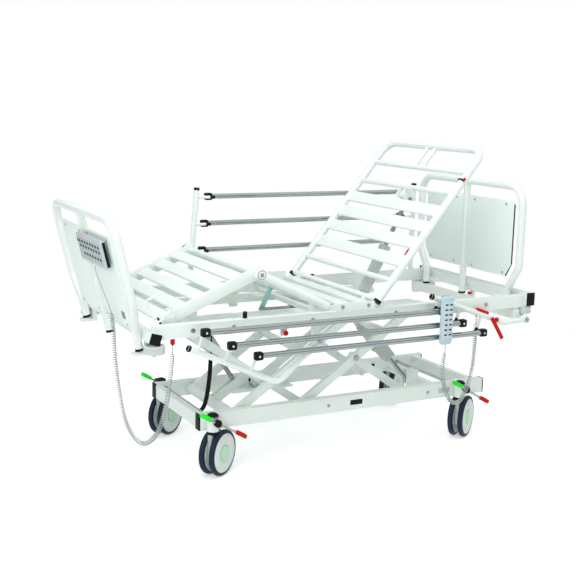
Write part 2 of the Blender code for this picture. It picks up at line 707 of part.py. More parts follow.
def build_platform():
    """Welded frame that carries the mattress sections, the rails, the boards and the lift's upper pivots."""
    look = enamel()
    half = FRAME_WIDTH / 2
    frame = box("platform_frame", (FOOT_LATERAL_X, -FRAME_Y - half, FRAME_BOTTOM),
                (HEAD_LATERAL_X, -FRAME_Y + half, FRAME_TOP), look)
    tilt = Matrix.Translation((FOOT_LATERAL_X, 0, FOOT_LATERAL_Z)) @ Matrix.Rotation(FOOT_LATERAL_TILT, 4,
                                                                                     "Y")
    size = FOOT_LATERAL_SIZE / 2
    fuse(frame, box("foot_lateral", (-size, -LATERAL_HALF, -size), (size, LATERAL_HALF, size), look, tilt))
    head_half = HEAD_LATERAL_WIDTH / 2
    fuse(frame, box("head_lateral", (HEAD_LATERAL_X - head_half, -LATERAL_HALF,
                                     HEAD_LATERAL_Z - HEAD_LATERAL_HEIGHT / 2),
                    (HEAD_LATERAL_X + head_half, LATERAL_HALF,
                     HEAD_LATERAL_Z + HEAD_LATERAL_HEIGHT / 2), look))
    fuse(frame, box("far_beam", (FOOT_LATERAL_X, FRAME_Y - half, FRAME_BOTTOM),
                    (HEAD_LATERAL_X, FRAME_Y + half, FRAME_TOP), look))
    low = LOWER_CROSS_Z - LOWER_CROSS_HEIGHT / 2
    fuse(frame, box("lower_cross", (LOWER_CROSS_X - LOWER_CROSS_WIDTH / 2, -LOWER_CROSS_HALF, low),
                    (LOWER_CROSS_X + LOWER_CROSS_WIDTH / 2, LOWER_CROSS_HALF,
                     LOWER_CROSS_Z + LOWER_CROSS_HEIGHT / 2),
                    look))
    for side in (-1, 1):
        ys = sorted((side * (FRAME_Y - 0.014), side * (FRAME_Y + 0.014)))
        fuse(frame, box("hanger", (LOWER_CROSS_X - 0.012, ys[0], LOWER_CROSS_Z),
                        (LOWER_CROSS_X + 0.012, ys[1], FRAME_BOTTOM + 0.010), look))
    # Cross members that carry the tracks
    bottom = track_bottom()
    reach = FRAME_Y - half + 0.005
    low, high = bottom + TRACK_THICKNESS / 2, bottom + TRACK_THICKNESS + 0.008
    for x in (TRACK_FOOT + 0.020, SEAT_FOOT):
        fuse(frame, box("cross", (x - SEAT_BAR / 2, -reach, low), (x + SEAT_BAR / 2, reach, high), look))
    for side in (-1, 1):
        ys = sorted((side * (TRACK_OUTER - 0.010), side * reach))
        for x in (SEAT_HEAD, TRACK_HEAD - 0.020):
            fuse(frame, box("outrigger", (x - SEAT_BAR / 2, ys[0], low), (x + SEAT_BAR / 2, ys[1], high),
                            look))
        ys = sorted((side * TRACK_INNER, side * TRACK_OUTER))
        fuse(frame, box("track", (TRACK_FOOT, ys[0], bottom),
                        (TRACK_HEAD, ys[1], bottom + TRACK_THICKNESS), look))
    # Lift pivots under the tracks
    high = upper_pivot_z()
    for side in (-1, 1):
        for x, plate_in, plate_out, pin_to in (
                (FOOT_LINK_X, TRACK_INNER, INNER_LANE - ARM_WIDTH / 2 - 0.004,
                 INNER_LANE + ARM_WIDTH / 2 + 0.002),
                (HEAD_ARM_X, OUTER_LANE + ARM_WIDTH / 2 + 0.004, TRACK_OUTER,
                 OUTER_LANE - ARM_WIDTH / 2 - 0.002)):
            ys = sorted((side * plate_in, side * plate_out))
            fuse(frame, box("lift_plate", (x - 0.018, ys[0] + 0.0005, high - 0.018),
                            (x + 0.018, ys[1] - 0.0005, bottom + 0.005), look))
            middle = (ys[0] + ys[1]) / 2
            fuse(frame, rod("lift_pin", (x, middle, high), (x, side * pin_to, high), PIVOT_RADIUS, look))
    for lug in hinge_lugs(HIP, bottom + TRACK_THICKNESS / 2 + 0.002):
        fuse(frame, lug)
    return frame


def hinge_lugs(pivot, low):
    """Two open-topped saddles that hold a section's hinge bar."""
    made = []
    half = HINGE_LUG_WIDTH / 2
    for side in (-1, 1):
        y = side * HINGE_LUG_Y
        lug = box("hinge_lug", (pivot.x - 0.024, y - half, low), (pivot.x + 0.024, y + half, pivot.z),
                  enamel())
        made.append(cut(lug, bore(at(pivot, y), BAR_RADIUS, HINGE_LUG_WIDTH)))
    return made


def build_back_carriage():
    """Carriage that slides on the tracks; it holds the back section's hinge, its motor and a seat slat."""
    look = enamel()
    pivot = BACK_PIVOT
    motor = BACK_MOTOR_PIVOT
    runway = track_bottom() + TRACK_THICKNESS + CLEARANCE
    carriage = box("back_carriage", (pivot.x - SEAT_BAR / 2, -CARRIAGE_HALF, CARRIAGE_BOTTOM),
                   (pivot.x + SEAT_BAR / 2, CARRIAGE_HALF, CARRIAGE_TOP), look)
    for side in (-1, 1):
        ys = sorted((side * (TRACK_INNER + 0.006), side * (TRACK_OUTER - 0.014)))
        fuse(carriage, box("shoe", (pivot.x - 0.030, ys[0], runway),
                           (pivot.x + 0.030, ys[1], CARRIAGE_BOTTOM + 0.001), look))
        ys = sorted((side * (TRACK_INNER - 0.010), side * (TRACK_INNER - 0.0005)))
        fuse(carriage, box("guide", (pivot.x - 0.027, ys[0], runway - 0.010),
                           (pivot.x + 0.027, ys[1], CARRIAGE_BOTTOM + 0.002), look))
        y = side * HINGE_LUG_Y
        fuse(carriage, box("slat_arm", (pivot.x - 0.077, y - 0.008, CARRIAGE_BOTTOM + 0.004),
                           (pivot.x - 0.005, y + 0.008, CARRIAGE_TOP + 0.006), look))
    for lug in hinge_lugs(pivot, CARRIAGE_BOTTOM + 0.002):
        fuse(carriage, lug)
    slat_z = CARRIAGE_TOP + 0.005
    fuse(carriage, box("seat_slat", (pivot.x - 0.082, -CARRIAGE_SLAT_HALF, slat_z),
                       (pivot.x - 0.022, CARRIAGE_SLAT_HALF, slat_z + SLAT_THICKNESS), look))
    cheek = LEVER_GAP / 2 + LEVER_THICKNESS
    fuse(carriage, box("spine", (pivot.x + 0.010, -cheek + 0.0005, motor.z - 0.008),
                       (motor.x - 0.021, cheek - 0.0005, CARRIAGE_BOTTOM + 0.004), look))
    for side in (-1, 1):
        ys = sorted((side * (EYE_THICKNESS / 2 + CLEARANCE), side * cheek))
        fuse(carriage, box("motor_lug", (motor.x - 0.046, ys[0], motor.z - 0.013),
                           (motor.x + 0.012, ys[1], motor.z + 0.013), look))
    fuse(carriage, rod("motor_pin", at(motor, -cheek + 0.001), at(motor, cheek - 0.001), PIVOT_RADIUS, look))
    carry("back_carriage", (pivot.x, 0, runway), [carriage])
    return [carriage]


def build_platform_fittings(frame):
    """Bumper pins, board rests, rail brackets, knob lugs, seat and stop pegs, all welded to the frame."""
    look = enamel()
    half = FRAME_WIDTH / 2
    for side in (-1, 1):
        ys = sorted((side * (BACK_HALF + TUBE_RADIUS + 0.001), side * (FRAME_Y + half - 0.001)))
        fuse(frame, box("seat_rail", (SEAT_FOOT, ys[0], FRAME_TOP - 0.010), (SEAT_HEAD, ys[1], SEAT_TOP),
                        look))
        for end, x, top in (("foot", BUMPER_FOOT_X, BUMPER_FOOT_TOP),
                            ("head", BUMPER_HEAD_X, BUMPER_HEAD_TOP)):
            y = side * BUMPER_Y[end]
            fuse(frame, rod("bumper_pin", (x, y, top - BUMPER_HEIGHT - 0.002), (x, y, top + 0.015),
                            BUMPER_PIN, look))
        ys = sorted((side * (FOOT_LEG_HALF - LEG_REST_HALF), side * (FOOT_LEG_HALF + LEG_REST_HALF)))
        leg_z = FOOT_BOARD_BASE.z + FOOT_BOARD_LEG * math.cos(FOOT_BOARD_TILT)
        rest = leg_z - BOARD_TUBE_RADIUS * math.sin(FOOT_BOARD_TILT) - CLEARANCE
        fuse(frame, box("leg_rest", (FOOT_BOARD_BASE.x - 0.022, ys[0], rest - 0.012),
                        (FOOT_LATERAL_X + 0.010, ys[1], rest), look))
        fuse(frame, box("leg_web", (FOOT_LATERAL_X - 0.010, ys[0] + 0.001, rest - 0.011),
                        (FOOT_LATERAL_X + 0.009, ys[1] - 0.001, FOOT_LATERAL_Z - 0.010), look))
        ys = sorted((side * 0.230, side * 0.270))
        fuse(frame, box("board_rest", (HEAD_BOARD_X - 0.006, ys[0],
                                       HEAD_LATERAL_Z - HEAD_LATERAL_HEIGHT / 2 + 0.002),
                        (HEAD_LATERAL_X - 0.010, ys[1],
                         HEAD_BOARD_BASE - BOARD_TUBE_RADIUS - CLEARANCE), look))
        # Rail brackets: a plate under each beam near the foot pivot and one at the lower cross beam
        foot = RAIL_FOOT_PIVOT
        ys = sorted((side * (FRAME_Y + 0.006), side * (FRAME_Y + half - 0.001)))
        fuse(frame, box("rail_plate", (foot.x - 0.020, ys[0], foot.z - 0.018),
                        (foot.x + 0.020, ys[1], FRAME_BOTTOM + 0.010), look))
        head = rail_head_pivot()
        ys = sorted((side * (FRAME_Y + 0.002), side * (FRAME_Y + half - 0.001)))
        fuse(frame, box("rail_plate", (LOWER_CROSS_X - 0.010, ys[0], head.z - 0.016),
                        (head.x + 0.016, ys[1], head.z + 0.015), look))
        for point in (foot, head):
            fuse(frame, rod("rail_pin", at(point, side * (FRAME_Y + half - 0.006)),
                            at(point, side * (RAIL_ARM_Y + RAIL_ARM_RADIUS + 0.002)), RAIL_PIN_RADIUS, look))
    x = SEAT_FOOT + 0.045
    reach = BACK_HALF + TUBE_RADIUS + 0.003
    fuse(frame, box("seat_slat", (x - SLAT_WIDTH / 2, -reach, SEAT_TOP - SLAT_THICKNESS - 0.001),
                    (x + SLAT_WIDTH / 2, reach, SEAT_TOP - 0.001), look))
    # Cross member, lugs and pin of the foot lift motor
    gap = LEVER_GAP / 2
    pivot = FOOT_MOTOR_PIVOT
    low = track_bottom()
    fuse(frame, box("motor_cross", (pivot.x - 0.064, -TRACK_INNER - 0.010, low + 0.002),
                    (pivot.x - 0.034, TRACK_INNER + 0.010, low + TRACK_THICKNESS - 0.003), look))
    for side in (-1, 1):
        ys = sorted((side * (EYE_THICKNESS / 2 + CLEARANCE), side * (gap + LEVER_THICKNESS)))
        fuse(frame, box("foot_motor_lug", (pivot.x - 0.046, ys[0], pivot.z - 0.012),
                        (pivot.x + 0.012, ys[1], low + 0.012), look))
    fuse(frame, rod("motor_pin", at(pivot, -gap - 0.004), at(pivot, gap + 0.004), PIVOT_RADIUS, look))
    # Lugs of the two pull knobs, and the black stop pegs
    lug = KNOB_LUG_HALF
    fuse(frame, box("knob_lug", (FOOT_KNOB_X - lug, -FRAME_Y - half + 0.014, FOOT_KNOB_Z - lug),
                    (FOOT_KNOB_X + lug, -FRAME_Y - half + 0.022, FRAME_BOTTOM + 0.010), look))
    fuse(frame, box("knob_lug", (HEAD_LATERAL_X - 0.014, HEAD_KNOB_Y - lug, HEAD_KNOB_Z - lug - 0.003),
                    (HEAD_LATERAL_X - 0.002, HEAD_KNOB_Y + lug, HEAD_LATERAL_Z), look))
    fuse(frame, rod("stop_peg", (STOP_PEG_X, -FRAME_Y, FRAME_TOP - 0.005),
                    (STOP_PEG_X, -FRAME_Y, FRAME_TOP + STOP_PEG_HEIGHT), STOP_PEG_RADIUS, look))
    return [frame]


def build_bumpers():
    """Horizontal rollers under the four corners, each free on a pin of the frame."""
    made = []
    half = BUMPER_HEIGHT / 2
    hole = (BUMPER_PIN + CLEARANCE) / math.cos(math.pi / SIDES)
    for end, x, top in (("foot", BUMPER_FOOT_X, BUMPER_FOOT_TOP), ("head", BUMPER_HEAD_X, BUMPER_HEAD_TOP)):
        for side_name, side in (("near", -1), ("far", 1)):
            profile = [(BUMPER_RADIUS - 0.008, half), (BUMPER_RADIUS, half - 0.008),
                       (BUMPER_RADIUS, -half + 0.008),
                       (BUMPER_RADIUS - 0.008, -half)]
            wheel = disc("bumper_roller_" + end + "_" + side_name, profile, 18, grey_plastic())
            cut(wheel, rod("hole", (0, 0, -half - 0.01), (0, 0, half + 0.01), hole, grey_plastic()))
            centre = Vector((x, side * BUMPER_Y[end], top - half))
            wheel.data.transform(Matrix.Translation(centre))
            carry(wheel.name, centre, [wheel])
            made.append(wheel)
    return made


def disc(name, profile, steps, look):
    """Solid turned shape whose profile is closed onto its own axis."""
    return lathe(name, [(0.0, profile[0][1])] + profile + [(0.0, profile[-1][1])], steps, look)


def tilt_to(origin, angle):
    """Frame whose +X leans up from the head-ward horizontal by angle, for a section hinged at origin."""
    return Matrix.Translation(origin) @ Matrix.Rotation(-angle, 4, "Y")


def tilt_to_foot(origin, angle):
    """Frame whose +X points to the foot end and rises by angle."""
    return Matrix.Translation(origin) @ Matrix.Rotation(angle, 4, "Y") @ Matrix.Rotation(math.pi, 4, "Z")


def cross_bar(u, half, radius=BAR_RADIUS, w=0.0):
    return rod("bar", (u, -half, w), (u, half, w), radius, enamel())


def slat(u, half, w=0.0):
    return box("slat", (u - SLAT_WIDTH / 2, -half, w - SLAT_THICKNESS / 2),
               (u + SLAT_WIDTH / 2, half, w + SLAT_THICKNESS / 2), enamel())


def build_back():
    """Back section: bent round tube, hinge bar, flat slats, two bars and the motor's cheeks."""
    turn = tilt_to(BACK_PIVOT, BACK_ANGLE)
    inset = BACK_CORNER
    corner = arc((BACK_LENGTH - inset, BACK_HALF - inset), inset, math.pi / 2, 0, 4)
    half_path = [(-BACK_TAIL, BACK_HALF)] + corner
    points = [(u, v, 0.0) for u, v in half_path] + [(u, -v, 0.0) for u, v in reversed(half_path)]
    back = tube("back_section", points, TUBE_RADIUS, enamel(), 3)
    for u in BACK_BARS:
        fuse(back, cross_bar(u, BACK_HALF))
    for u in BACK_SLATS:
        fuse(back, slat(u, BACK_HALF - 0.004))
    for side in (-1, 1):
        ys = sorted((side * (EYE_THICKNESS / 2 + 0.003),
                     side * (EYE_THICKNESS / 2 + 0.003 + LEVER_THICKNESS)))
        fuse(back, box("motor_cheek", (BACK_MOTOR_AT - 0.020, ys[0], -BACK_MOTOR_DROP - 0.016),
                       (BACK_BARS[2] + 0.006, ys[1], 0.004), enamel()))
        fuse(back, rod("bracket_tube", (BACK_BARS[3], side * 0.032, 0.0), (BACK_LENGTH, side * 0.032, 0.0),
                       0.010, enamel(), 8))
    back.data.transform(turn)
    carry("back_section", BACK_PIVOT, [back])
    target = turn @ Vector((BACK_MOTOR_AT, 0.0, -BACK_MOTOR_DROP))
    motor = build_actuator("back_motor", BACK_MOTOR_PIVOT, target, 0.270, 0.215, 0.045, 0.040)
    return [back] + motor


def build_leg_sections():
    """Thigh section hinged at the seat, calf section hinged on the thigh's knee bar."""
    thigh_turn = tilt_to_foot(HIP, THIGH_ANGLE)
    thigh = rod("thigh_section", (-0.014, -THIGH_HALF, 0), (THIGH_LENGTH + 0.014, -THIGH_HALF, 0),
                TUBE_RADIUS, enamel())
    for u in (0.0, THIGH_LENGTH):
        fuse(thigh, cross_bar(u, THIGH_HALF))
    fuse(thigh, rod("far_tube", (-0.014, THIGH_HALF, 0), (THIGH_LENGTH + 0.014, THIGH_HALF, 0),
                    TUBE_RADIUS, enamel()))
    for u in THIGH_SLATS:
        fuse(thigh, slat(u, THIGH_HALF - 0.004))
    thigh.data.transform(thigh_turn)
    fuse(thigh, bar_between("knee_lever", HIP, knee_lever_tip(), KNEE_MOTOR_Y + 0.005, LEVER_THICKNESS,
                            0.024, enamel(), 0.0, 0.010))
    knee = thigh_turn @ Vector((THIGH_LENGTH, 0, 0))
    calf_turn = tilt_to_foot(knee, -CALF_ANGLE)
    half = CALF_WIDTH / 2
    calf = box("calf_section", (-0.022, -CALF_HALF - half, -CALF_HEIGHT / 2),
               (CALF_LENGTH, -CALF_HALF + half, CALF_HEIGHT / 2), enamel())
    for u in CALF_SLATS:
        fuse(calf, slat(u, CALF_HALF - 0.004, 0.010))
    fuse(calf, box("far_beam", (-0.022, CALF_HALF - half, -CALF_HEIGHT / 2),
                   (CALF_LENGTH, CALF_HALF + half, CALF_HEIGHT / 2), enamel()))
    for side in (-1, 1):
        out = side * (CALF_HALF + MATTRESS_STOP_OUT)
        into = side * CALF_HALF
        root = CALF_LENGTH - 0.010
        first = CALF_LENGTH - 0.050
        last = first + MATTRESS_STOP_SIZE
        high = MATTRESS_STOP_HEIGHT
        wire = [(root, into, 0.018), (root, out, 0.018), (last, out, 0.018), (last, out, high),
                (first, out, high),
                (first, out, 0.0), (first, into, 0.0)]
        fuse(calf, tube("mattress_stop", wire, MATTRESS_STOP_WIRE, enamel(), 1))
        cut(calf, bore((0, side * CALF_HALF, 0), BAR_RADIUS, CALF_WIDTH))
    calf.data.transform(calf_turn)
    carry("thigh_section", HIP, [thigh])
    carry("calf_section", knee, [calf])
    return [thigh, calf]


def build_knee_motor():
    """Knee motor hung on the far track: a fixed case and a push rod that reaches the thigh's lever."""
    z = KNEE_MOTOR_Z
    y = KNEE_MOTOR_Y
    case = box("knee_motor_housing", (KNEE_MOTOR_FOOT, y - 0.040, z - 0.028),
               (KNEE_MOTOR_FOOT + 0.220, TRACK_INNER - CLEARANCE,
                track_bottom() + TRACK_THICKNESS / 2 - 0.001),
               grey_plastic())
    wall = (ROD_RADIUS + CLEARANCE) / math.cos(math.pi / SIDES)
    cut(case, rod("rod_bore", (KNEE_MOTOR_FOOT - 0.010, y, z), (KNEE_MOTOR_FOOT + 0.180, y, z), wall,
                  grey_plastic()))
    tip = knee_lever_tip()
    push = rod("knee_motor_rod", (tip.x + 0.036, y, z), (KNEE_MOTOR_FOOT + 0.100, y, z), ROD_RADIUS, chrome())
    fuse(push, box("eye", (tip.x - 0.012, y - 0.010, z - 0.013), (tip.x + 0.046, y - 0.001, z + 0.013),
                   chrome()))
    carry("knee_motor_rod", (tip.x, y, z), [push])
    return [case, push]


def knee_lever_tip():
    """Lower end of the thigh's lever, which hangs plumb when the thigh lies flat."""
    return HIP + Vector((-math.sin(THIGH_ANGLE), 0, -math.cos(THIGH_ANGLE))) * KNEE_LEVER


def rail_head_pivot():
    return RAIL_FOOT_PIVOT + Vector((RAIL_LENGTH - 2 * RAIL_PIN_IN, 0, 0))


def build_rail(side_name, side, lowered):
    """One side rail: two cranked arms and three tubes that stay level, all turning on pins."""
    fold = Matrix.Rotation(-RAIL_FOLD if lowered else 0.0, 4, "Y")
    made = []

    def where(pivot, offset, y=RAIL_ARM_Y):
        return at(pivot + fold @ Vector((offset[0], 0, offset[1])), side * y)

    foot = RAIL_FOOT_PIVOT
    head = rail_head_pivot()
    for end, pivot, bend, tip in (("foot", foot, RAIL_FOOT_BEND, RAIL_FOOT_TIP),
                                  ("head", head, RAIL_HEAD_BEND, RAIL_HEAD_TIP)):
        arm = tube("rail_arm_" + end + "_" + side_name,
                   [where(pivot, (0, 0)), where(pivot, bend), where(pivot, tip)],
                   RAIL_ARM_RADIUS, enamel(), 3)
        fuse(arm, rod("boss", where(pivot, (0, 0), RAIL_ARM_Y - 0.0125),
                      where(pivot, (0, 0), RAIL_ARM_Y + 0.0125), 0.018, enamel()))
        for offset in RAIL_TUBES.values():
            share = (offset[1] - bend[1]) / (tip[1] - bend[1])
            root = (bend[0] + (tip[0] - bend[0]) * share, offset[1])
            fuse(arm, rod("stub", where(pivot, root), where(pivot, offset), RAIL_STUB_RADIUS, enamel(), 8))
            fuse(arm, rod("pin", where(pivot, offset, RAIL_ARM_Y - 0.006),
                          where(pivot, offset,
                                RAIL_Y - RAIL_TUBE_RADIUS - CLEARANCE), RAIL_STUB_RADIUS + 0.001, enamel(), 8))
        cut(arm, bore(where(pivot, (0, 0)), RAIL_PIN_RADIUS, 0.030))
        if end == "head":
            fuse(arm, rod("release_pin", where(pivot, RELEASE_PIVOT),
                          where(pivot, RELEASE_PIVOT,
                                RAIL_ARM_Y + RAIL_ARM_RADIUS + 0.006), 0.004, enamel(), 8))
        carry(arm.name, at(pivot, side * RAIL_ARM_Y), [arm])
        made.append(arm)
    for level, offset in RAIL_TUBES.items():
        start = where(foot, offset, RAIL_Y)
        name = "rail_tube_" + level + "_" + side_name
        rail = rod(name, start - Vector((RAIL_PIN_IN, 0, 0)),
                   start + Vector((RAIL_LENGTH - RAIL_PIN_IN, 0, 0)), RAIL_TUBE_RADIUS, chrome())
        carry(name, start, [rail])
        made.append(rail)
    y = RAIL_ARM_Y + RAIL_ARM_RADIUS + CLEARANCE + RELEASE_THICKNESS / 2
    lever = bar_between("rail_release_" + side_name, where(head, RELEASE_TOP), where(head, RELEASE_TAIL),
                        side * y,
                        RELEASE_THICKNESS, RELEASE_HEIGHT, red_plastic())
    hole = (0.004 + CLEARANCE) / math.cos(math.pi / 8)
    cut(lever, rod("hole", where(head, RELEASE_PIVOT, y - 0.02), where(head, RELEASE_PIVOT, y + 0.02),
                   hole, red_plastic(), 8))
    carry(lever.name, where(head, RELEASE_PIVOT, y), [lever])
    made.append(lever)
    return made


def board_path(base_half, base, flare, top):
    """Outline (y, height) of a board's tube: narrow legs that flare out, and round upper corners."""
    corner = arc((BOARD_HALF - BOARD_CORNER, top - BOARD_CORNER), BOARD_CORNER, 0, math.pi / 2, 4)
    half = [(base_half, base), (BOARD_HALF, flare)] + corner
    return half + [(-y, z) for y, z in reversed(half)]


def build_head_board():
    x = HEAD_BOARD_X
    path = board_path(HEAD_BOARD_BASE_HALF, HEAD_BOARD_BASE, HEAD_BOARD_FLARE, HEAD_BOARD_TOP)
    loop = tube("head_board_frame", [(x, y, z) for y, z in path], BOARD_TUBE_RADIUS, enamel(), 3, cyclic=True)
    fuse(loop, rod("post", (x, BOARD_POST_Y, HEAD_POST_BOTTOM), (x, BOARD_POST_Y, HEAD_BOARD_TOP),
                   BOARD_TUBE_RADIUS - 0.001, enamel()))
    half = PANEL_THICKNESS / 2
    edge = BOARD_TUBE_RADIUS - 0.001 + CLEARANCE
    near = box("head_panel_near", (x - half, -PANEL_HALF, HEAD_PANEL_BOTTOM),
               (x + half, BOARD_POST_Y - edge, HEAD_PANEL_TOP), laminate())
    far = box("head_panel_far", (x - half, BOARD_POST_Y + edge, HEAD_PANEL_BOTTOM),
              (x + half, PANEL_HALF, HEAD_PANEL_TOP), laminate())
    return [loop, near, far]


def build_foot_board():
    """Foot board leaning outwards on three legs, with the control panel on its outer face."""
    turn = Matrix.Translation(FOOT_BOARD_BASE) @ Matrix.Rotation(-FOOT_BOARD_TILT, 4, "Y")
    path = board_path(FOOT_LEG_HALF, FOOT_BOARD_LEG, FOOT_FLARE, FOOT_BOARD_RISE)
    path.insert(1, (FOOT_LEG_HALF, 0.040))
    path.insert(len(path) - 1, (-FOOT_LEG_HALF, 0.040))
    loop = tube("foot_board_frame", [(0.0, y, z) for y, z in path], BOARD_TUBE_RADIUS, enamel(), 3)
    radius = BOARD_TUBE_RADIUS - 0.001
    fuse(loop, rod("post", (0, BOARD_POST_Y, FOOT_BOARD_LEG), (0, BOARD_POST_Y, FOOT_BOARD_RISE), radius,
                   enamel()))
    half = PANEL_THICKNESS / 2
    edge = radius + CLEARANCE
    near = box("foot_panel_near", (-half, -PANEL_HALF + 0.02, FOOT_PANEL_BOTTOM),
               (half, BOARD_POST_Y - edge, FOOT_PANEL_TOP), laminate())
    far = box("foot_panel_far", (-half, BOARD_POST_Y + edge, FOOT_PANEL_BOTTOM),
              (half, PANEL_HALF - 0.02, FOOT_PANEL_TOP), laminate())
    back = -radius * math.cos(math.pi / SIDES) - CLEARANCE
    panel = box("nurse_panel", (back - NURSE_DEPTH, *NURSE_LOW), (back, *NURSE_HIGH), grey_plastic())
    for item in (loop, near, far, panel):
        item.data.transform(turn)
    return [loop, near, far, panel]


def build_hand_control():
    """Hand control with a hook over the top rail tube of the near side."""
    low = Vector(HANDSET_LOW)
    high = Vector(HANDSET_HIGH)
    body = box("hand_control", low, high, grey_plastic())
    tube_z = rail_tube_point("top", True).z
    over = tube_z + RAIL_TUBE_RADIUS
    inner = RAIL_Y - RAIL_TUBE_RADIUS
    x = high.x - 0.034
    fuse(body, box("hook_top", (x, high.y - 0.004, over + CLEARANCE),
                   (x + 0.008, -inner + 0.0072, over + 0.006), grey_plastic()))
    fuse(body, box("hook_lip", (x + 0.0005, -inner + 0.0022, tube_z - 0.006),
                   (x + 0.0075, -inner + 0.0070, over + 0.003), grey_plastic()))
    return [body]


def rail_tube_point(level, lowered):
    """Foot-end pivot of a rail tube."""
    offset = RAIL_TUBES[level]
    fold = Matrix.Rotation(-RAIL_FOLD if lowered else 0.0, 4, "Y")
    return RAIL_FOOT_PIVOT + fold @ Vector((offset[0], 0, offset[1]))


def build_small_pieces():
    """Control box, pull knobs and the two cord plugs' sockets."""
    made = [box("control_box", CONTROL_BOX_LOW, CONTROL_BOX_HIGH, grey_plastic())]
    y = -FRAME_Y - FRAME_WIDTH / 2 + 0.014 - CLEARANCE
    knob = rod("pull_knob_foot", (FOOT_KNOB_X, y, FOOT_KNOB_Z), (FOOT_KNOB_X, y - KNOB_LENGTH, FOOT_KNOB_Z),
               KNOB_RADIUS, red_plastic())
    x = HEAD_LATERAL_X - 0.014 - CLEARANCE
    other = rod("pull_knob_head", (x, HEAD_KNOB_Y, HEAD_KNOB_Z), (x - KNOB_LENGTH, HEAD_KNOB_Y, HEAD_KNOB_Z),
                KNOB_RADIUS, red_plastic())
    made += [knob, other]
    return made


def smooth_route(points, count):
    """Points at equal steps along a Catmull-Rom curve through the route."""
    knots = [Vector(p) for p in points]
    knots = [knots[0] * 2 - knots[1]] + knots + [knots[-1] * 2 - knots[-2]]
    fine = []
    for i in range(1, len(knots) - 2):
        a, b, c, d = knots[i - 1:i + 3]
        for j in range(24):
            t = j / 24
            fine.append(0.5 * (2 * b + (c - a) * t + (2 * a - 5 * b + 4 * c - d) * t * t
                               + (3 * b - a - 3 * c + d) * t * t * t))
    fine.append(knots[-2])
    lengths = [0.0]
    for p, q in zip(fine, fine[1:]):
        lengths.append(lengths[-1] + (q - p).length)
    result = []
    k = 0
    for i in range(count):
        goal = lengths[-1] * i / (count - 1)
        while k < len(lengths) - 2 and lengths[k + 1] < goal:
            k += 1
        span = lengths[k + 1] - lengths[k]
        result.append(fine[k].lerp(fine[k + 1], (goal - lengths[k]) / span))
    return result, lengths[-1]


def curly_points(route, curls, lead_in, lead_out):
    """Centre line of a curly cord: straight leads at both ends and a helix round the route between them."""
    steps = curls * CURL_POINTS
    path, length = smooth_route(route, steps * 2 + 1)
    first = int(round(lead_in / length * steps * 2))
    last = steps * 2 - int(round(lead_out / length * steps * 2))
    side = Vector((0, 0, 1)).cross(path[1] - path[0])
    if side.length < 1e-6:
        side = Vector((1, 0, 0))
    normals = []
    for i in range(len(path)):
        ahead = path[min(i + 1, len(path) - 1)] - path[max(i - 1, 0)]
        ahead.normalize()
        side = (side - ahead * side.dot(ahead)).normalized()
        normals.append((side.copy(), ahead.cross(side)))
    points = [path[round(first * i / 4)] for i in range(4)] if first > 0 else [path[0]]
    for i in range(steps + 1):
        turn = 2 * math.pi * i / CURL_POINTS
        place = first + (last - first) * i / steps
        low = min(int(place), len(path) - 2)
        centre = path[low].lerp(path[low + 1], place - low)
        grow = min(1.0, i / CURL_POINTS, (steps - i) / CURL_POINTS)
        one, two = normals[low]
        points.append(centre + (one * math.cos(turn) + two * math.sin(turn)) * CURL_RADIUS * grow)
    points += [path[last + round((len(path) - 1 - last) * i / 4)] for i in range(1, 5)]
    return points, length


def least_gap(points, radius, apart=6):
    """Smallest distance between stretches of one cord that are not neighbours, less its diameter."""
    best = 1.0
    for i, p in enumerate(points):
        for q in points[i + apart:i + apart * 8]:
            best = min(best, (p - q).length)
    return best - 2 * radius


def build_cords():
    look = material("pale_cord", (0.70, 0.74, 0.72), 0.5)
    made = []
    for name, route, curls, lead_in, lead_out in (("nurse_cord", NURSE_ROUTE, NURSE_CURLS, 0.20, 0.030),
                                                  ("handset_cord", HANDSET_ROUTE, HANDSET_CURLS, 0.030,
                                                   0.030)):
        points, length = curly_points(route, curls, lead_in, lead_out)
        print(name, "route", round(length, 4), "least gap mm",
              round(least_gap(points, CORD_RADIUS) * 1000, 2))
        made.append(tube(name, points, CORD_RADIUS, look, 1))
    points, length = smooth_route(HOSE_ROUTE, 26)
    print("lift_hose route", round(length, 4))
    made.append(tube("lift_hose", points, HOSE_RADIUS, black_plastic(), 2))
    for name, route in (("nurse_plug", NURSE_ROUTE), ("handset_plug", HANDSET_ROUTE)):
        end = Vector(route[-1])
        made.append(rod(name, end + Vector((0, 0, CLEARANCE)), (end.x, end.y, FRAME_BOTTOM - CLEARANCE),
                        0.010, red_plastic()))
    return made


def settle(made, loose):
    """Moves the whole bed so that the origin is on the floor below the middle of its box, cords left out."""
    bpy.context.view_layer.update()
    corners = [item.matrix_world @ Vector(corner) for item in made if item.name not in loose for corner in item.bound_box]
    middle = [(min(c[i] for c in corners) + max(c[i] for c in corners)) / 2 for i in (0, 1)]
    offset = Vector((-middle[0], -middle[1], 0.0))
    for item in parts.objects:
        if item.parent is None:
            item.location += offset
    print("origin offset", round(offset.x, 6), round(offset.y, 6))
    return offset


def build_all():
    made = []
    made += build_chassis()
    for end in ("foot", "head"):
        for side_name, side in (("near", -1), ("far", 1)):
            made += build_castor(end, side_name, side)
        made += build_brake_shaft(end)
    made += build_lift()
    made += build_platform_fittings(build_platform())
    made += build_back_carriage()
    made += build_bumpers()
    made += build_back()
    made += build_leg_sections()
    made += build_knee_motor()
    made += build_rail("near", -1, True)
    made += build_rail("far", 1, False)
    made += build_head_board()
    made += build_foot_board()
    made += build_hand_control()
    made += build_small_pieces()
    made += build_cords()
    return made


clear_scene()
parts = collection("hospital_bed")
nodes = build_all()
origin_offset = settle(nodes, ("nurse_cord", "handset_cord", "lift_hose", "nurse_plug", "handset_plug"))
print("nodes", len(nodes))
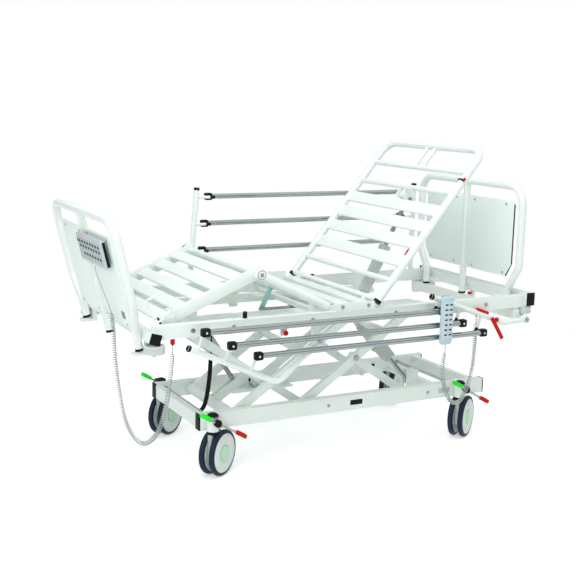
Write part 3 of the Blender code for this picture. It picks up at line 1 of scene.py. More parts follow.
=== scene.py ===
# Electric hospital bed without its mattress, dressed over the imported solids.
# Metres, +Z up. The bed runs along X, foot end at -X, and the near side is -Y.

import json
from math import atan2, cos, hypot, pi, radians, sin, tan

import bmesh
import bpy
from mathutils import Matrix, Vector

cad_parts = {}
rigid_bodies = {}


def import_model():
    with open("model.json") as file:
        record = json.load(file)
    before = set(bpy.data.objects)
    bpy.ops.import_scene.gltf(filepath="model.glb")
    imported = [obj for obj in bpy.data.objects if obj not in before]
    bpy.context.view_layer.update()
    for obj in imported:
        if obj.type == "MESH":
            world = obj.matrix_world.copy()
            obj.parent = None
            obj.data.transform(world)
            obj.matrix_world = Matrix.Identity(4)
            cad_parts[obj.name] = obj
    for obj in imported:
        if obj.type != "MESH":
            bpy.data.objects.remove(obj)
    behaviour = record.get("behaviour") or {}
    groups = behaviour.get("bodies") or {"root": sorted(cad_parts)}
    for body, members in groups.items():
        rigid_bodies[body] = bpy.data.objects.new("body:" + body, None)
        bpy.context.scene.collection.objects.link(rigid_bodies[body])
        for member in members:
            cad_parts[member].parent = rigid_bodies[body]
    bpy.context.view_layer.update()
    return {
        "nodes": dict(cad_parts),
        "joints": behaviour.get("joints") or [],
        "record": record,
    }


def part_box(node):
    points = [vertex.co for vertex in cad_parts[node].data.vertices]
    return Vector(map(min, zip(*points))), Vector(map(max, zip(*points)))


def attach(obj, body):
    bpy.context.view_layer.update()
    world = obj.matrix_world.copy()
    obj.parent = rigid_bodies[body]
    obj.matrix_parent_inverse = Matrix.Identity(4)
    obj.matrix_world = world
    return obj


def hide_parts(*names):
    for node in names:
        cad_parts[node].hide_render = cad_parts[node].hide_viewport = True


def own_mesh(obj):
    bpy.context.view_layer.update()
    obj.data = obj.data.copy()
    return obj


# The solids as packed. Sizes below are drawing sizes from a datum on the bed's middle line, 606 mm in from
# the foot end of the chassis beams, so every piece is moved by that datum at the end.
for item in list(bpy.data.objects):
    bpy.data.objects.remove(item)
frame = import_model()
beam_low, beam_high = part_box("chassis_frame")
datum = Vector((beam_low.x + 0.606, (beam_low.y + beam_high.y) / 2, 0.0))

# Camera: a long lens at standing eye height, well off the near corner of the foot end.
view = bpy.data.cameras.new("camera")
view.sensor_width = 36.0
view.lens = 64.77
camera = bpy.data.objects.new("camera", view)
bpy.context.scene.collection.objects.link(camera)
right = Vector((0.8834, -0.4681, 0.0239)).normalized()
up = Vector((0.0633, 0.1698, 0.9834))
up = (up - right * up.dot(right)).normalized()
stand = Matrix((right, up, right.cross(up))).transposed().to_4x4()
camera.matrix_world = Matrix.Translation(Vector((-2.2597, -4.1161, 1.5846)) + datum) @ stand
bpy.context.scene.camera = camera


# Pale studio: a white sweep under the bed, a bright surround, one large lamp above and two at the sides.
def linear(code):
    """Linear colour from an sRGB hex value."""
    values = [int(code[i:i + 2], 16) / 255 for i in (1, 3, 5)]
    return tuple(v / 12.92 if v <= 0.04045 else ((v + 0.055) / 1.055) ** 2.4 for v in values) + (1.0,)


def add_node(tree, kind, inputs=(), **settings):
    """A node with its settings. Each input takes a value, a socket, or a node whose first output feeds it."""
    node = tree.nodes.new(kind)
    for name, value in settings.items():
        setattr(node, name, value)
    for name, value in dict(inputs).items():
        if isinstance(value, bpy.types.Node):
            value = value.outputs[0]
        if isinstance(value, bpy.types.NodeSocket):
            tree.links.new(value, node.inputs[name])
        else:
            node.inputs[name].default_value = value
    return node


def mixed(tree, share, one, two):
    """Mix of two shaders."""
    return add_node(tree, "ShaderNodeMixShader", {0: share, 1: one, 2: two})


def either(tree, rays, kind):
    """Whether a ray is of this kind or has passed through glass."""
    return add_node(tree, "ShaderNodeMath", {0: rays.outputs[kind], 1: rays.outputs["Is Transmission Ray"]},
                    operation="MAXIMUM")


def backdrop(name, code, lift, near, far):
    """Matt white surface: the bed's soft shadow shows near it, and it fades to an even white farther out."""
    look = bpy.data.materials.new(name)
    look.use_nodes = True
    tree = look.node_tree
    tree.nodes.clear()
    rays = add_node(tree, "ShaderNodeLightPath")
    place = add_node(tree, "ShaderNodeTexCoord")
    reach = add_node(tree, "ShaderNodeVectorMath", {0: place.outputs["Object"]}, operation="LENGTH")
    fade = add_node(tree, "ShaderNodeMapRange", {"Value": reach.outputs["Value"], "From Min": near,
            "From Max": far}, interpolation_type="SMOOTHSTEP")
    matt = add_node(tree, "ShaderNodeBsdfDiffuse", {"Color": linear(code)})
    faint = add_node(tree, "ShaderNodeEmission", {"Color": linear(code), "Strength": lift})
    even = add_node(tree, "ShaderNodeEmission", {"Color": linear(code), "Strength": 1.0})
    lit = add_node(tree, "ShaderNodeAddShader", {0: matt, 1: faint})
    by_eye = mixed(tree, rays.outputs["Is Camera Ray"], matt, mixed(tree, fade, lit, even))
    whole = mixed(tree, either(tree, rays, "Is Glossy Ray"), by_eye, even)
    add_node(tree, "ShaderNodeOutputMaterial", {"Surface": whole})
    return look


floor_mesh = bpy.data.meshes.new("floor")
floor_mesh.from_pydata([(-9, -9, 0), (9, -9, 0), (9, 9, 0), (-9, 9, 0)], [], [(0, 1, 2, 3)])
floor = bpy.data.objects.new("floor", floor_mesh)
bpy.context.scene.collection.objects.link(floor)
floor_mesh.materials.append(backdrop("studio_floor", "#FFFFFF", 0.4, 1.4, 3.2))
world = bpy.data.worlds.new("surround")
bpy.context.scene.world = world
world.use_nodes = True
sky = world.node_tree
sky.nodes.clear()
rays = add_node(sky, "ShaderNodeLightPath")
way = add_node(sky, "ShaderNodeTexCoord")
height = add_node(sky, "ShaderNodeSeparateXYZ", {0: way.outputs["Generated"]})
band = add_node(sky, "ShaderNodeMapRange", {"Value": height.outputs["Z"], "From Min": 0.06, "From Max": 0.42,
        "To Min": 0.1, "To Max": 1.0}, interpolation_type="SMOOTHSTEP")
plain, mirror, white = [add_node(sky, "ShaderNodeBackground", {"Color": linear(code), "Strength": strength})
                        for code, strength in (("#F6FBF9", 0.6), ("#FFFFFF", band), ("#FFFFFF", 1.0))]
lighting = mixed(sky, rays.outputs["Is Glossy Ray"], plain, mirror)
add_node(sky, "ShaderNodeOutputWorld", {"Surface": mixed(sky, either(sky, rays, "Is Camera Ray"), lighting, white)})
for name, place, aim, size, power in (("lamp_above", (-0.8, -1.2, 4.2), (0, 0, 0.6), 2.6, 82.0),
        ("lamp_front", (-3.6, -2.6, 2.4), (0, 0, 0.6), 2.0, 50.0), ("lamp_head", (3.8, -1.8, 2.2), (0.3, 0, 0.6),
        1.8, 18.0)):
    data = bpy.data.lights.new(name, "AREA")
    data.size = size
    data.energy = power
    lamp = bpy.data.objects.new(name, data)
    bpy.context.scene.collection.objects.link(lamp)
    lamp.location = place
    lamp.rotation_euler = (Vector(aim) - Vector(place)).to_track_quat("-Z", "Y").to_euler()
bpy.context.scene.view_settings.view_transform = "Standard"


# Powder-coated steel: a baked white polyester coat with a hint of green, smooth but with a fine
# orange peel of about 2 mm that breaks up the highlights.
def shaded(name, code, dark_code, roughness, metallic=0.0, grain_mm=1.0, bump=0.05, cloud_mm=180, specular=0.5):
    """Principled material whose colour drifts between two hex values and whose gloss and surface vary finely."""
    look = bpy.data.materials.new(name)
    look.use_nodes = True
    tree = look.node_tree
    place = add_node(tree, "ShaderNodeTexCoord").outputs["Object"]
    cloud = add_node(tree, "ShaderNodeTexNoise", {"Scale": 1000.0 / cloud_mm, "Detail": 3.0, "Vector": place})
    fine = add_node(tree, "ShaderNodeTexNoise", {"Scale": 1000.0 / grain_mm, "Detail": 2.0, "Vector": place})
    tint = add_node(tree, "ShaderNodeMix", {0: cloud, 6: linear(code), 7: linear(dark_code)}, data_type="RGBA")
    gloss = add_node(tree, "ShaderNodeMapRange", {"To Min": roughness * 0.82, "To Max": roughness * 1.18,
            "Value": cloud})
    relief = add_node(tree, "ShaderNodeBump", {"Strength": bump, "Distance": 0.001, "Height": fine})
    shader = tree.nodes["Principled BSDF"].inputs
    shader["Metallic"].default_value = metallic
    shader["Specular IOR Level"].default_value = specular
    tree.links.new(tint.outputs[2], shader["Base Color"])
    tree.links.new(gloss.outputs[0], shader["Roughness"])
    tree.links.new(relief.outputs[0], shader["Normal"])
    return look


enamel = shaded("white_powder_coat", "#EBF2EE", "#E4ECE8", 0.36, grain_mm=2.0)


# Chassis: two long rectangular steel tubes and their cross members, welded and coated in one piece, with
# black push-in caps in the open tube ends.
def baked(shape, name):
    """Mesh of a finished shape."""
    mesh = bpy.data.meshes.new(name)
    shape.to_mesh(mesh)
    shape.free()
    return mesh


def welded(node):
    """Merged copy of a CAD node's loose triangles, as a mesh."""
    shape = bmesh.new()
    shape.from_mesh(frame["nodes"][node].data)
    bmesh.ops.remove_doubles(shape, verts=shape.verts, dist=0.00002)
    bmesh.ops.dissolve_limit(shape, angle_limit=radians(1.0), verts=shape.verts, edges=shape.edges)
    return baked(shape, node)


def joined(name, meshes):
    """One mesh from several; each keeps its own materials."""
    shape = bmesh.new()
    looks = []
    for mesh in meshes:
        start = len(shape.faces)
        shape.from_mesh(mesh)
        shape.faces.ensure_lookup_table()
        own = list(mesh.materials)
        looks += [look for look in dict.fromkeys(own) if look not in looks]
        for face in shape.faces[start:]:
            if own:
                face.material_index = looks.index(own[face.material_index])
    result = baked(shape, name)
    for look in looks:
        result.materials.append(look)
    return result


def coat(look, *meshes):
    """The meshes, each with this one material."""
    for mesh in meshes:
        mesh.materials.clear()
        mesh.materials.append(look)
        for face in mesh.polygons:
            face.material_index = 0
    return list(meshes)


def show(name, mesh, look, body, moved=True, turn=None):
    """Puts a mesh, or several as one, at the bed's datum, smooth where faces meet gently, riding on a body."""
    if isinstance(mesh, list):
        mesh = joined(name, mesh)
    if turn is not None:
        mesh.transform(turn)
    if moved:
        mesh.transform(at(datum))
    if look is not None:
        mesh.materials.clear()
        mesh.materials.append(look)
    mesh.shade_smooth()
    mesh.set_sharp_from_angle(angle=radians(38))
    piece = bpy.data.objects.new(name, mesh)
    bpy.context.scene.collection.objects.link(piece)
    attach(piece, body)
    return piece


def body_of(node):
    """Name of the body that a CAD node belongs to."""
    return next(name for name, members in frame["record"]["behaviour"]["bodies"].items() if node in members)


def stand_in(node, mesh, look=None, tag="", moved=True, turn=None, body=None, name=None):
    """Shows a finished piece on its CAD node's body, in place of that node."""
    name = (name or node) + "_finished" + tag
    node += tag
    piece = show(name, mesh, look, body or body_of(node), moved, turn)
    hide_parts(node)
    return piece


def soften(node, look, width):
    """Shows a CAD node with its sheet and tube edges rounded, in place of the sharp solid."""
    edges = stand_in(node, welded(node), look, moved=False).modifiers.new("rounded", "BEVEL")
    edges.width = width
    edges.segments = 2
    edges.limit_method = "ANGLE"
    edges.angle_limit = radians(40)
    edges.harden_normals = True


def block(low, high, radius=0.002, turn=None, segments=2):
    """Box with all its edges rounded."""
    low, high = Vector(low), Vector(high)
    shape = bmesh.new()
    bmesh.ops.create_cube(shape, size=1.0)
    bmesh.ops.scale(shape, verts=shape.verts, vec=high - low)
    bmesh.ops.translate(shape, verts=shape.verts, vec=(low + high) / 2)
    bmesh.ops.bevel(shape, geom=list(shape.edges), offset=radius, segments=segments, affect="EDGES", profile=0.5)
    if turn is not None:
        bmesh.ops.transform(shape, verts=shape.verts, matrix=turn)
    return baked(shape, "block")


at = Matrix.Translation
ends = ("foot", "head")
sides = (("near", -1), ("far", 1))
black = shaded("moulded_black_nylon", "#050607", "#0A0B0D", 0.5, grain_mm=0.9, bump=0.1, cloud_mm=60,
               specular=0.22)
soften("chassis_frame", enamel, 0.0022)
beam_foot, beam_head, beam_y = -0.606, 0.884, 0.257
show("beam_end_caps", [block((x - 0.0035, y - 0.0205, 0.2015), (x + 0.0035, y + 0.0205, 0.273), 0.0018)
                       for x in (beam_foot, beam_head) for y in (-beam_y, beam_y)], black, "chassis")


# Bolts, rivets and plugs: zinc-plated hexagon heads on washers wherever a pin or bracket is fixed.
def group(name, *labels):
    """Empty geometry node tree with the named inputs, its input node, its output and its points' direction."""
    tree = bpy.data.node_groups.new(name, "GeometryNodeTree")
    tree.interface.new_socket("Geometry", in_out="INPUT", socket_type="NodeSocketGeometry")
    for label in labels:
        kind = {"Sides": "NodeSocketInt", "Finish": "NodeSocketMaterial"}.get(label, "NodeSocketFloat")
        tree.interface.new_socket(label, in_out="INPUT", socket_type=kind)
    tree.interface.new_socket("Geometry", in_out="OUTPUT", socket_type="NodeSocketGeometry")
    facing = add_node(tree, "GeometryNodeInputNamedAttribute", {"Name": "aim"}, data_type="FLOAT_VECTOR")
    return tree, add_node(tree, "NodeGroupInput").outputs, facing.outputs["Attribute"]


def times(tree, socket, factor):
    """A socket's value times a constant."""
    return add_node(tree, "ShaderNodeMath", {0: socket, 1: factor}, operation="MULTIPLY")


def scatter(tree, given, shape, turn):
    """Ends a tree: the shape on every point, turned, as real mesh in the given finish."""
    copies = add_node(tree, "GeometryNodeInstanceOnPoints", {"Points": given["Geometry"], "Instance": shape,
            "Rotation": turn})
    real = add_node(tree, "GeometryNodeRealizeInstances", {0: copies})
    finished = add_node(tree, "GeometryNodeSetMaterial", {"Geometry": real, "Material": given["Finish"]})
    add_node(tree, "NodeGroupOutput", {0: finished})


def repeat(name, tree, places, aim, values, look):
    """Mesh made by a geometry node tree from points that all face one way."""
    mesh = bpy.data.meshes.new(name + "_places")
    mesh.from_pydata([tuple(p) for p in places], [], [])
    facing = mesh.attributes.new("aim", "FLOAT_VECTOR", "POINT")
    for point in facing.data:
        point.vector = aim
    carrier = bpy.data.objects.new(name + "_places", mesh)
    bpy.context.scene.collection.objects.link(carrier)
    step = carrier.modifiers.new("repeat", "NODES")
    step.node_group = tree
    values = dict(values, Finish=look)
    for socket in tree.interface.items_tree:
        if socket.in_out == "INPUT" and socket.name in values:
            step[socket.identifier] = values[socket.name]
    made = bpy.data.meshes.new_from_object(carrier.evaluated_get(bpy.context.evaluated_depsgraph_get()))
    bpy.data.objects.remove(carrier)
    return coat(look, made)[0]


bolt_tree, given, facing = group("bolt_heads", "Across", "Height", "Sides", "Finish")
washer = add_node(bolt_tree, "GeometryNodeMeshCylinder", {"Vertices": 20, "Depth": 0.0016,
        "Radius": times(bolt_tree, given["Across"], 0.78)})
head = add_node(bolt_tree, "GeometryNodeMeshCone", {"Vertices": given["Sides"], "Depth": given["Height"],
        "Radius Top": times(bolt_tree, given["Across"], 0.5), "Radius Bottom": times(bolt_tree, given["Across"],
        0.56)})
bolt = add_node(bolt_tree, "GeometryNodeJoinGeometry", {0: washer})
bolt_tree.links.new(head.outputs[0], bolt.inputs[0])
scatter(bolt_tree, given, bolt, add_node(bolt_tree, "FunctionNodeAlignRotationToVector", {"Vector": facing},
        axis="Z"))
zinc = shaded("zinc_plated_steel", "#B9BEC0", "#A6ACAE", 0.3, metallic=1.0, grain_mm=1.2, cloud_mm=25)


def bolts(name, places, aim, body, across=0.013, height=0.006, sides=6, look=zinc):
    """Row of bolt heads on a body, all facing one way."""
    mesh = repeat(name, bolt_tree, places, aim, {"Across": across, "Height": height, "Sides": sides}, look)
    return show(name, mesh, None, body)


outer_face = -(beam_y + 0.02)
bolts("chassis_bolts_near", [(x, outer_face - 0.0015, 0.237) for x in (0.02, 0.56, 0.8)], (0, -1, 0), "chassis",
      0.01, 0.004)
bolts("chassis_bolts_far", [(x, -outer_face + 0.0015, 0.237) for x in (-0.45, 0.02, 0.56)], (0, 1, 0), "chassis",
      0.01, 0.004)
bolts("chassis_plugs", [(x, beam_y - 0.0215, 0.242) for x in (-0.12, -0.05, 0.58, 0.84)], (0, -1, 0), "chassis",
      0.014, 0.0025, 16, black)
plate_metal = shaded("satin_aluminium_plate", "#C3CACB", "#B6BEC0", 0.38, metallic=0.6, grain_mm=0.6, bump=0.03)
plates = [coat(look, block((x - 0.032, outer_face - 0.0012, 0.226), (x + 0.032, outer_face + 0.001, 0.249),
        0.0006))[0] for x, look in ((0.165, black), (0.655, plate_metal))]
show("blank_plates", plates, None, "chassis")


# Castors: a grey die-cast fork on a swivel stem, and two discs with polyurethane treads on one axle.
def circle(steps):
    """Cosine and sine of equal steps round a circle."""
    return [(cos(2 * pi * i / steps), sin(2 * pi * i / steps)) for i in range(steps)]


def lathe(profile, steps=48, turn=None):
    """Solid of revolution about Z from (radius, height) points listed from the top down, closed onto the axis."""
    shape = bmesh.new()
    rows = [[shape.verts.new((radius * c, radius * s, height)) for c, s in circle(1 if radius < 1e-6 else steps)]
            for radius, height in profile]
    for upper, lower in zip(rows, rows[1:]):
        for i in range(steps):
            j = (i + 1) % steps
            corners = dict.fromkeys(row[k % len(row)] for row, k in ((upper, i), (lower, i), (lower, j),
                    (upper, j)))
            if len(corners) > 2:
                shape.faces.new(list(corners))
    bmesh.ops.recalc_face_normals(shape, faces=shape.faces)
    mesh = baked(shape, "turned")
    if turn is not None:
        mesh.transform(turn)
    return mesh


def spin(degrees, axis="Y"):
    """Turn about an axis."""
    return Matrix.Rotation(radians(degrees), 4, axis)


tread = shaded("polyurethane_tread", "#142033", "#1B2940", 0.52, grain_mm=1.5, bump=0.1, cloud_mm=40,
               specular=0.25)
wheel_disc = shaded("moulded_wheel_disc", "#DCE6E2", "#D3DFDA", 0.38, cloud_mm=70)
hub_green = shaded("hub_cover_green", "#BDE8C4", "#B3E0BB", 0.42, cloud_mm=50)
fork_grey = shaded("die_cast_grey", "#B9C0C2", "#A9B1B4", 0.4, bump=0.1, cloud_mm=50)
wheel_radius, trail, swivel = 0.1, 0.04, 35
castor_x, castor_y = {"foot": -0.556, "head": 0.729}, 0.3
half_wheel = [(0.0, 0.0392), (0.029, 0.039), (0.0325, 0.0384), (0.034, 0.0366), (0.0352, 0.0362), (0.0362, 0.0368),
              (0.06, 0.0372), (0.082, 0.0378), (0.0845, 0.036), (0.0855, 0.0374), (0.092, 0.0368), (0.097, 0.034),
              (0.0993, 0.0305), (0.1, 0.0265), (0.1, 0.0235), (0.0993, 0.019), (0.0965, 0.015), (0.0915, 0.0125),
              (0.085, 0.0118), (0.009, 0.0118)]
wheel_profile = half_wheel + [(r, -h) for r, h in reversed(half_wheel)]
wheel_rings = ((0.0341, hub_green), (0.0353, tread), (0.0846, wheel_disc), (0.2, tread))
for tag, x, y in [("_" + end + "_" + label, castor_x[end], side * castor_y) for end in ends for label, side in sides]:
    turn = at((x, y, 0.0)) @ spin(swivel, "Z")
    wheel = lathe(wheel_profile, 64)
    for radius, look in wheel_rings:
        wheel.materials.append(look)
    for face in wheel.polygons:
        reach = hypot(face.center.x, face.center.y)
        face.material_index = next(i for i, (radius, look) in enumerate(wheel_rings) if reach <= radius)
    wheel.transform(turn @ at((trail, 0, wheel_radius)) @ spin(-90, "X"))
    stand_in("castor_wheel", wheel, tag=tag)
    arm = block((-0.026, -0.01, 0.072), (0.06, 0.01, 0.1925), 0.0035, turn)
    hood = lathe([(0.0, 0.2018), (0.02, 0.2018), (0.024, 0.1995), (0.0255, 0.195), (0.0255, 0.189), (0.0, 0.189)],
                 32, turn)
    stem = lathe([(0.0, 0.226), (0.009, 0.226), (0.01, 0.225), (0.01, 0.19), (0.0, 0.19)], 24, turn)
    stand_in("castor_fork", coat(fork_grey, arm) + coat(black, hood) + coat(zinc, stem),
             tag=tag)
    dome = lathe([(0.0, 0.2835), (0.008, 0.283), (0.016, 0.2805), (0.022, 0.2755), (0.0255, 0.2685),
                  (0.0262, 0.262), (0.0, 0.262)], 32, at((x, y, 0.0)))
    show("socket_dome" + tag, dome, black, "chassis")


# Brake shafts: hexagonal plated bars through the castor sockets, with a flat pedal lever at each end that
# carries a green pad to free the wheels and a red one to lock them.
def rod(start, end, radius, steps=24, edge=0.0008):
    """Round bar between two points with slightly broken ends."""
    start, run = Vector(start), Vector(end) - Vector(start)
    long = run.length
    return lathe([(0.0, long), (radius - edge, long), (radius, long - edge), (radius, edge), (radius - edge, 0.0),
                  (0.0, 0.0)], steps, at(start) @ run.to_track_quat("Z", "Y").to_matrix().to_4x4())


def cross(x, y, z, half, radius, steps=24, edge=0.0008):
    """Short round bar across the bed, half its length to each side of a point."""
    return rod((x, y - half, z), (x, y + half, z), radius, steps, edge)


green_nylon = shaded("green_nylon", "#22F534", "#1BE92C", 0.45, bump=0.08, cloud_mm=40, specular=0.2)
red_nylon = shaded("red_nylon", "#CF0F08", "#BE0C06", 0.45, bump=0.08, cloud_mm=40, specular=0.22)
brake_z, rocker_y, pedal_tilt = 0.25, 0.352, 30
for end in ends:
    x = castor_x[end]
    made = coat(zinc, cross(x, 0, brake_z, rocker_y, 0.0074, 6))
    for y in (-rocker_y, rocker_y):
        turn = at((x, y, brake_z)) @ spin(pedal_tilt)
        made += coat(zinc, block((-0.078, -0.0055, -0.0045), (0.138, 0.0055, 0.0045), 0.0018, turn))
        made += coat(black, cross(x, y, brake_z, 0.0095, 0.0165, 32, 0.002))
        for low, high, look in ((-0.089, -0.038, green_nylon), (0.098, 0.149, red_nylon)):
            made += coat(look, block((low, -0.0145, -0.008), (high, 0.0145, 0.0108), 0.0055, turn, 4))
            for u in [low + 0.012 + i * 0.0085 for i in range(4)]:
                made += coat(look, block((u, -0.01, 0.0098), (u + 0.003, 0.01, 0.0117), 0.0008, turn))
    stand_in("brake_shaft", made, tag="_" + end)


# Scissor lift: rectangular steel arms in crossed pairs, welded to round cross tubes, white-coated, with
# plated bolts at the pivots. The arms keep their CAD shape, with rounded edges.
for node in ("foot_arms", "foot_links", "head_arms", "head_links", "back_carriage"):
    soften(node, enamel, 0.0016)
lower_z, arm_length, arm_angle = 0.235, 0.698, radians(34.1)
upper_z = lower_z + arm_length * sin(arm_angle)
arm_run = arm_length * cos(arm_angle)
foot_arm_x, foot_link_x, head_arm_x = -0.431, -0.649, 0.473
outer_lane, inner_lane, head_lane, half_arm = 0.2175, 0.178, 0.2435, 0.0125
middle_x, middle_z = head_arm_x - arm_run / 2, (lower_z + upper_z) / 2
crossing_x, crossing_z = foot_arm_x + arm_run * 0.62, lower_z + (upper_z - lower_z) * 0.62
for label, side in sides:
    for name, body, aim, x, y, z, across, height, corners in (
        ("head_arm", "head_links", side, middle_x, outer_lane + half_arm + 0.0048, middle_z, 0.018, 0.005, 16),
        ("head_top", "platform", side, head_arm_x, head_lane + 0.0008, upper_z, 0.016, 0.005, 6),
        ("foot_arm", "foot_arms", side, crossing_x, outer_lane + half_arm + 0.0006, crossing_z, 0.015, 0.004, 16),
        ("foot_link", "platform", -side, foot_link_x, inner_lane - half_arm - 0.0056, upper_z, 0.016, 0.005, 6),
    ):
        bolts(name + "_bolts_" + label, [(x, side * y, z)], (0, aim, 0), body, across, height, corners)

# Lift, back and knee motors: grey moulded cases with a rounded nose and cooling ribs, and plated push tubes.
motor_grey = shaded("moulded_motor_grey", "#C3CBCA", "#B7C0BF", 0.45, grain_mm=0.9, bump=0.12, cloud_mm=70)
push_tube = shaded("brushed_push_tube", "#A7AEB1", "#989FA3", 0.28, metallic=1.0, grain_mm=0.8, bump=0.04,
                   cloud_mm=30)
for node in ("foot_lift_motor_housing", "head_lift_motor_housing", "back_motor_housing", "knee_motor_housing"):
    soften(node, motor_grey, 0.005)


def joint_place(name):
    """Pivot of a joint, measured from the datum."""
    return Vector(next(joint["pos_m"] for joint in frame["joints"] if joint["name"] == name)) - datum


def along(start, run):
    """Places and tilts a piece that lies along +X so that it leaves the start in the run's direction."""
    return at(start) @ Matrix.Rotation(-atan2(run.z, run.x), 4, "Y")


def push_rod(node, pivot, tip, start, half_eye=0.01):
    """Smooth push tube with its flat drilled eye, from inside the case to the tip."""
    run = Vector(tip) - pivot
    tip = run.length
    made = coat(push_tube, rod((start, 0, 0), (tip - 0.016, 0, 0), 0.0108, 28))
    made += coat(zinc, cross(tip, 0, 0, half_eye, 0.0128, 28, 0.001))
    made += coat(black, cross(tip, 0, 0, half_eye + 0.0015, 0.006, 20, 0.001))
    made += coat(zinc, block((tip - 0.029, -half_eye, -0.0092), (tip - 0.006, half_eye, 0.0092), 0.002))
    stand_in(node, made, turn=along(pivot, run))


foot_lever = Vector((foot_arm_x, 0, lower_z)) + Vector((cos(arm_angle), 0, sin(arm_angle))) * 0.139
push_rod("foot_lift_motor_rod", joint_place("foot_motor_tilt"), foot_lever, 0.16)
push_rod("head_lift_motor_rod", joint_place("head_motor_tilt"), (0.634, 0.0, 0.215), 0.19)
back_pivot, back_angle = joint_place("back_raise"), radians(50.3)


def back_point(u, v, w):
    """Point of the back section: u up the slope, v across, w above its tubes."""
    return Vector((back_pivot.x + u * cos(back_angle) - w * sin(back_angle), v,
                   back_pivot.z + u * sin(back_angle) + w * cos(back_angle)))


push_rod("back_motor_rod", joint_place("back_motor_tilt"), back_point(0.56, 0, -0.055), 0.22)
hip, thigh_angle, calf_angle = Vector((-0.081, 0.0, 0.725)), radians(25.7), 22.6
lever_tip = hip + Vector((-sin(thigh_angle), 0, -cos(thigh_angle))) * 0.12
stand_in("knee_motor_rod", coat(push_tube, rod((lever_tip.x + 0.036, 0.105, 0.612), (0.13, 0.105, 0.612), 0.0108,
        28)) + coat(zinc, block((lever_tip.x - 0.012, 0.095, 0.599), (lever_tip.x + 0.046, 0.104, 0.625), 0.0025)))

# Mattress platform frame: long rectangular tubes with cross members, welded and white-coated. Its cross
# tubes end in square black caps, and the corner brackets carry plated bolts.
soften("platform_frame", enamel, 0.002)
frame_y = 0.42
for (label, side), xs in zip(sides, ((-0.7, -0.521, -0.156, 0.262, 0.76), (-0.7, -0.156, 0.262, 0.76))):
    bolts("frame_bolts_" + label, [(x, side * (frame_y + 0.001), 0.672) for x in xs], (0, side, 0), "platform",
          0.012, 0.005)
bolts("seat_bolts", [(-0.01, -0.4195, 0.716), (0.12, -0.4195, 0.716)], (0, -1, 0), "platform", 0.011, 0.004)
lateral_turn = at((-0.862, 0, 0.652)) @ spin(16)
made = []
for side in (-1, 1):
    inner, outer = sorted((side * 0.4305, side * 0.439))
    made += [block((-0.0225, inner, -0.0225), (0.0225, outer, 0.0225), 0.003, lateral_turn, 3),
             block((0.9895, inner, 0.651), (1.0345, outer, 0.713), 0.003, None, 3)]
show("cross_tube_caps", made, black, "platform")
under_tube = back_pivot.z - 0.0175 - 0.0008
show("stop_pegs", [rod((x, y, 0.7001), (x, y, top), 0.0092, 24, 0.002) for x, y,
                   top in ((-0.463, -0.4, 0.7283), (0.3, 0.4, under_tube), (0.62, 0.4, under_tube))], black,
     "platform")
soften("control_box", motor_grey, 0.006)


# Corner bumpers: horizontal translucent polyethylene rollers, ribbed on both faces, free on plated pins.
def centre_of(node):
    """Middle of a CAD node's box, measured from the datum."""
    low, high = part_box(node)
    return (low + high) / 2 - datum


bumper_look = shaded("cloudy_polyethylene", "#E2E8E7", "#D8DFDE", 0.36, grain_mm=1.5, cloud_mm=50)
bumper_look.node_tree.nodes["Principled BSDF"].inputs["Transmission Weight"].default_value = 0.25
bumper_face = [(0.008, 0.015), (0.015, 0.0165), (0.016, 0.012), (0.029, 0.012), (0.03, 0.0165), (0.04, 0.0165),
               (0.0432, 0.014), (0.0438, 0.01), (0.0425, 0.006)]
bumper_profile = bumper_face + [(r, -h) for r, h in reversed(bumper_face)] + bumper_face[:1]
for tag in ["_" + end + "_" + label for end in ends for label, side in sides]:
    centre = centre_of("bumper_roller" + tag)
    stand_in("bumper_roller", lathe(bumper_profile, 48, at(centre)), bumper_look, tag, name="bumper")
    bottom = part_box("bumper_roller" + tag)[0].z - 0.0045
    bolts("bumper_nut" + tag, [(centre.x, centre.y, bottom)], (0, 0, -1), "platform", 0.016, 0.007)


# Back section: one round tube bent in a hairpin, with flat steel slats, round bars and the motor's cheeks
# welded to it, all white-coated.
def bent(points, bend, steps=8):
    """Points of a path whose corners are rounded to a bend radius."""
    points = [Vector(p) for p in points]
    path = [points[0]]
    for before, corner, after in zip(points, points[1:], points[2:]):
        a = (before - corner).normalized()
        b = (after - corner).normalized()
        half = a.angle(b) / 2
        if abs(half - pi / 2) < 0.02:
            path.append(corner)
            continue
        reach = min(bend / tan(half), (before - corner).length * 0.49, (after - corner).length * 0.49)
        radius = reach * tan(half)
        centre = corner + (a + b).normalized() * (radius / sin(half))
        start = corner + a * reach - centre
        stop = corner + b * reach - centre
        sweep = start.angle(stop)
        square = (stop - stop.project(start)).normalized() * start.length
        path += [centre + start * cos(sweep * i / steps) + square * sin(sweep * i / steps)
                 for i in range(steps + 1)]
    path.append(points[-1])
    return path


def tube(path, radius, sides=24, ribs=0.0):
    """Round tube along a path with its ends closed; ribs is how much narrower every third ring is."""
    path = [Vector(p) for p in path]
    last = len(path) - 1
    shape = bmesh.new()
    side = (path[1] - path[0]).normalized().orthogonal().normalized()
    rings = []
    for i, point in enumerate(path):
        ahead = (path[min(i + 1, last)] - path[max(i - 1, 0)]).normalized()
        side = (side - ahead * side.dot(ahead)).normalized()
        other = ahead.cross(side)
        reach = radius * (1.0 - ribs if i % 3 == 1 else 1.0)
        rings.append([shape.verts.new(point + (side * c + other * s) * reach) for c, s in circle(sides)])
    for one, two in zip(rings, rings[1:]):
        for k in range(sides):
            shape.faces.new((one[k], one[(k + 1) % sides], two[(k + 1) % sides], two[k]))
    shape.faces.new(rings[0][::-1])
    shape.faces.new(rings[-1])
    bmesh.ops.recalc_face_normals(shape, faces=shape.faces)
    return baked(shape, "tube")


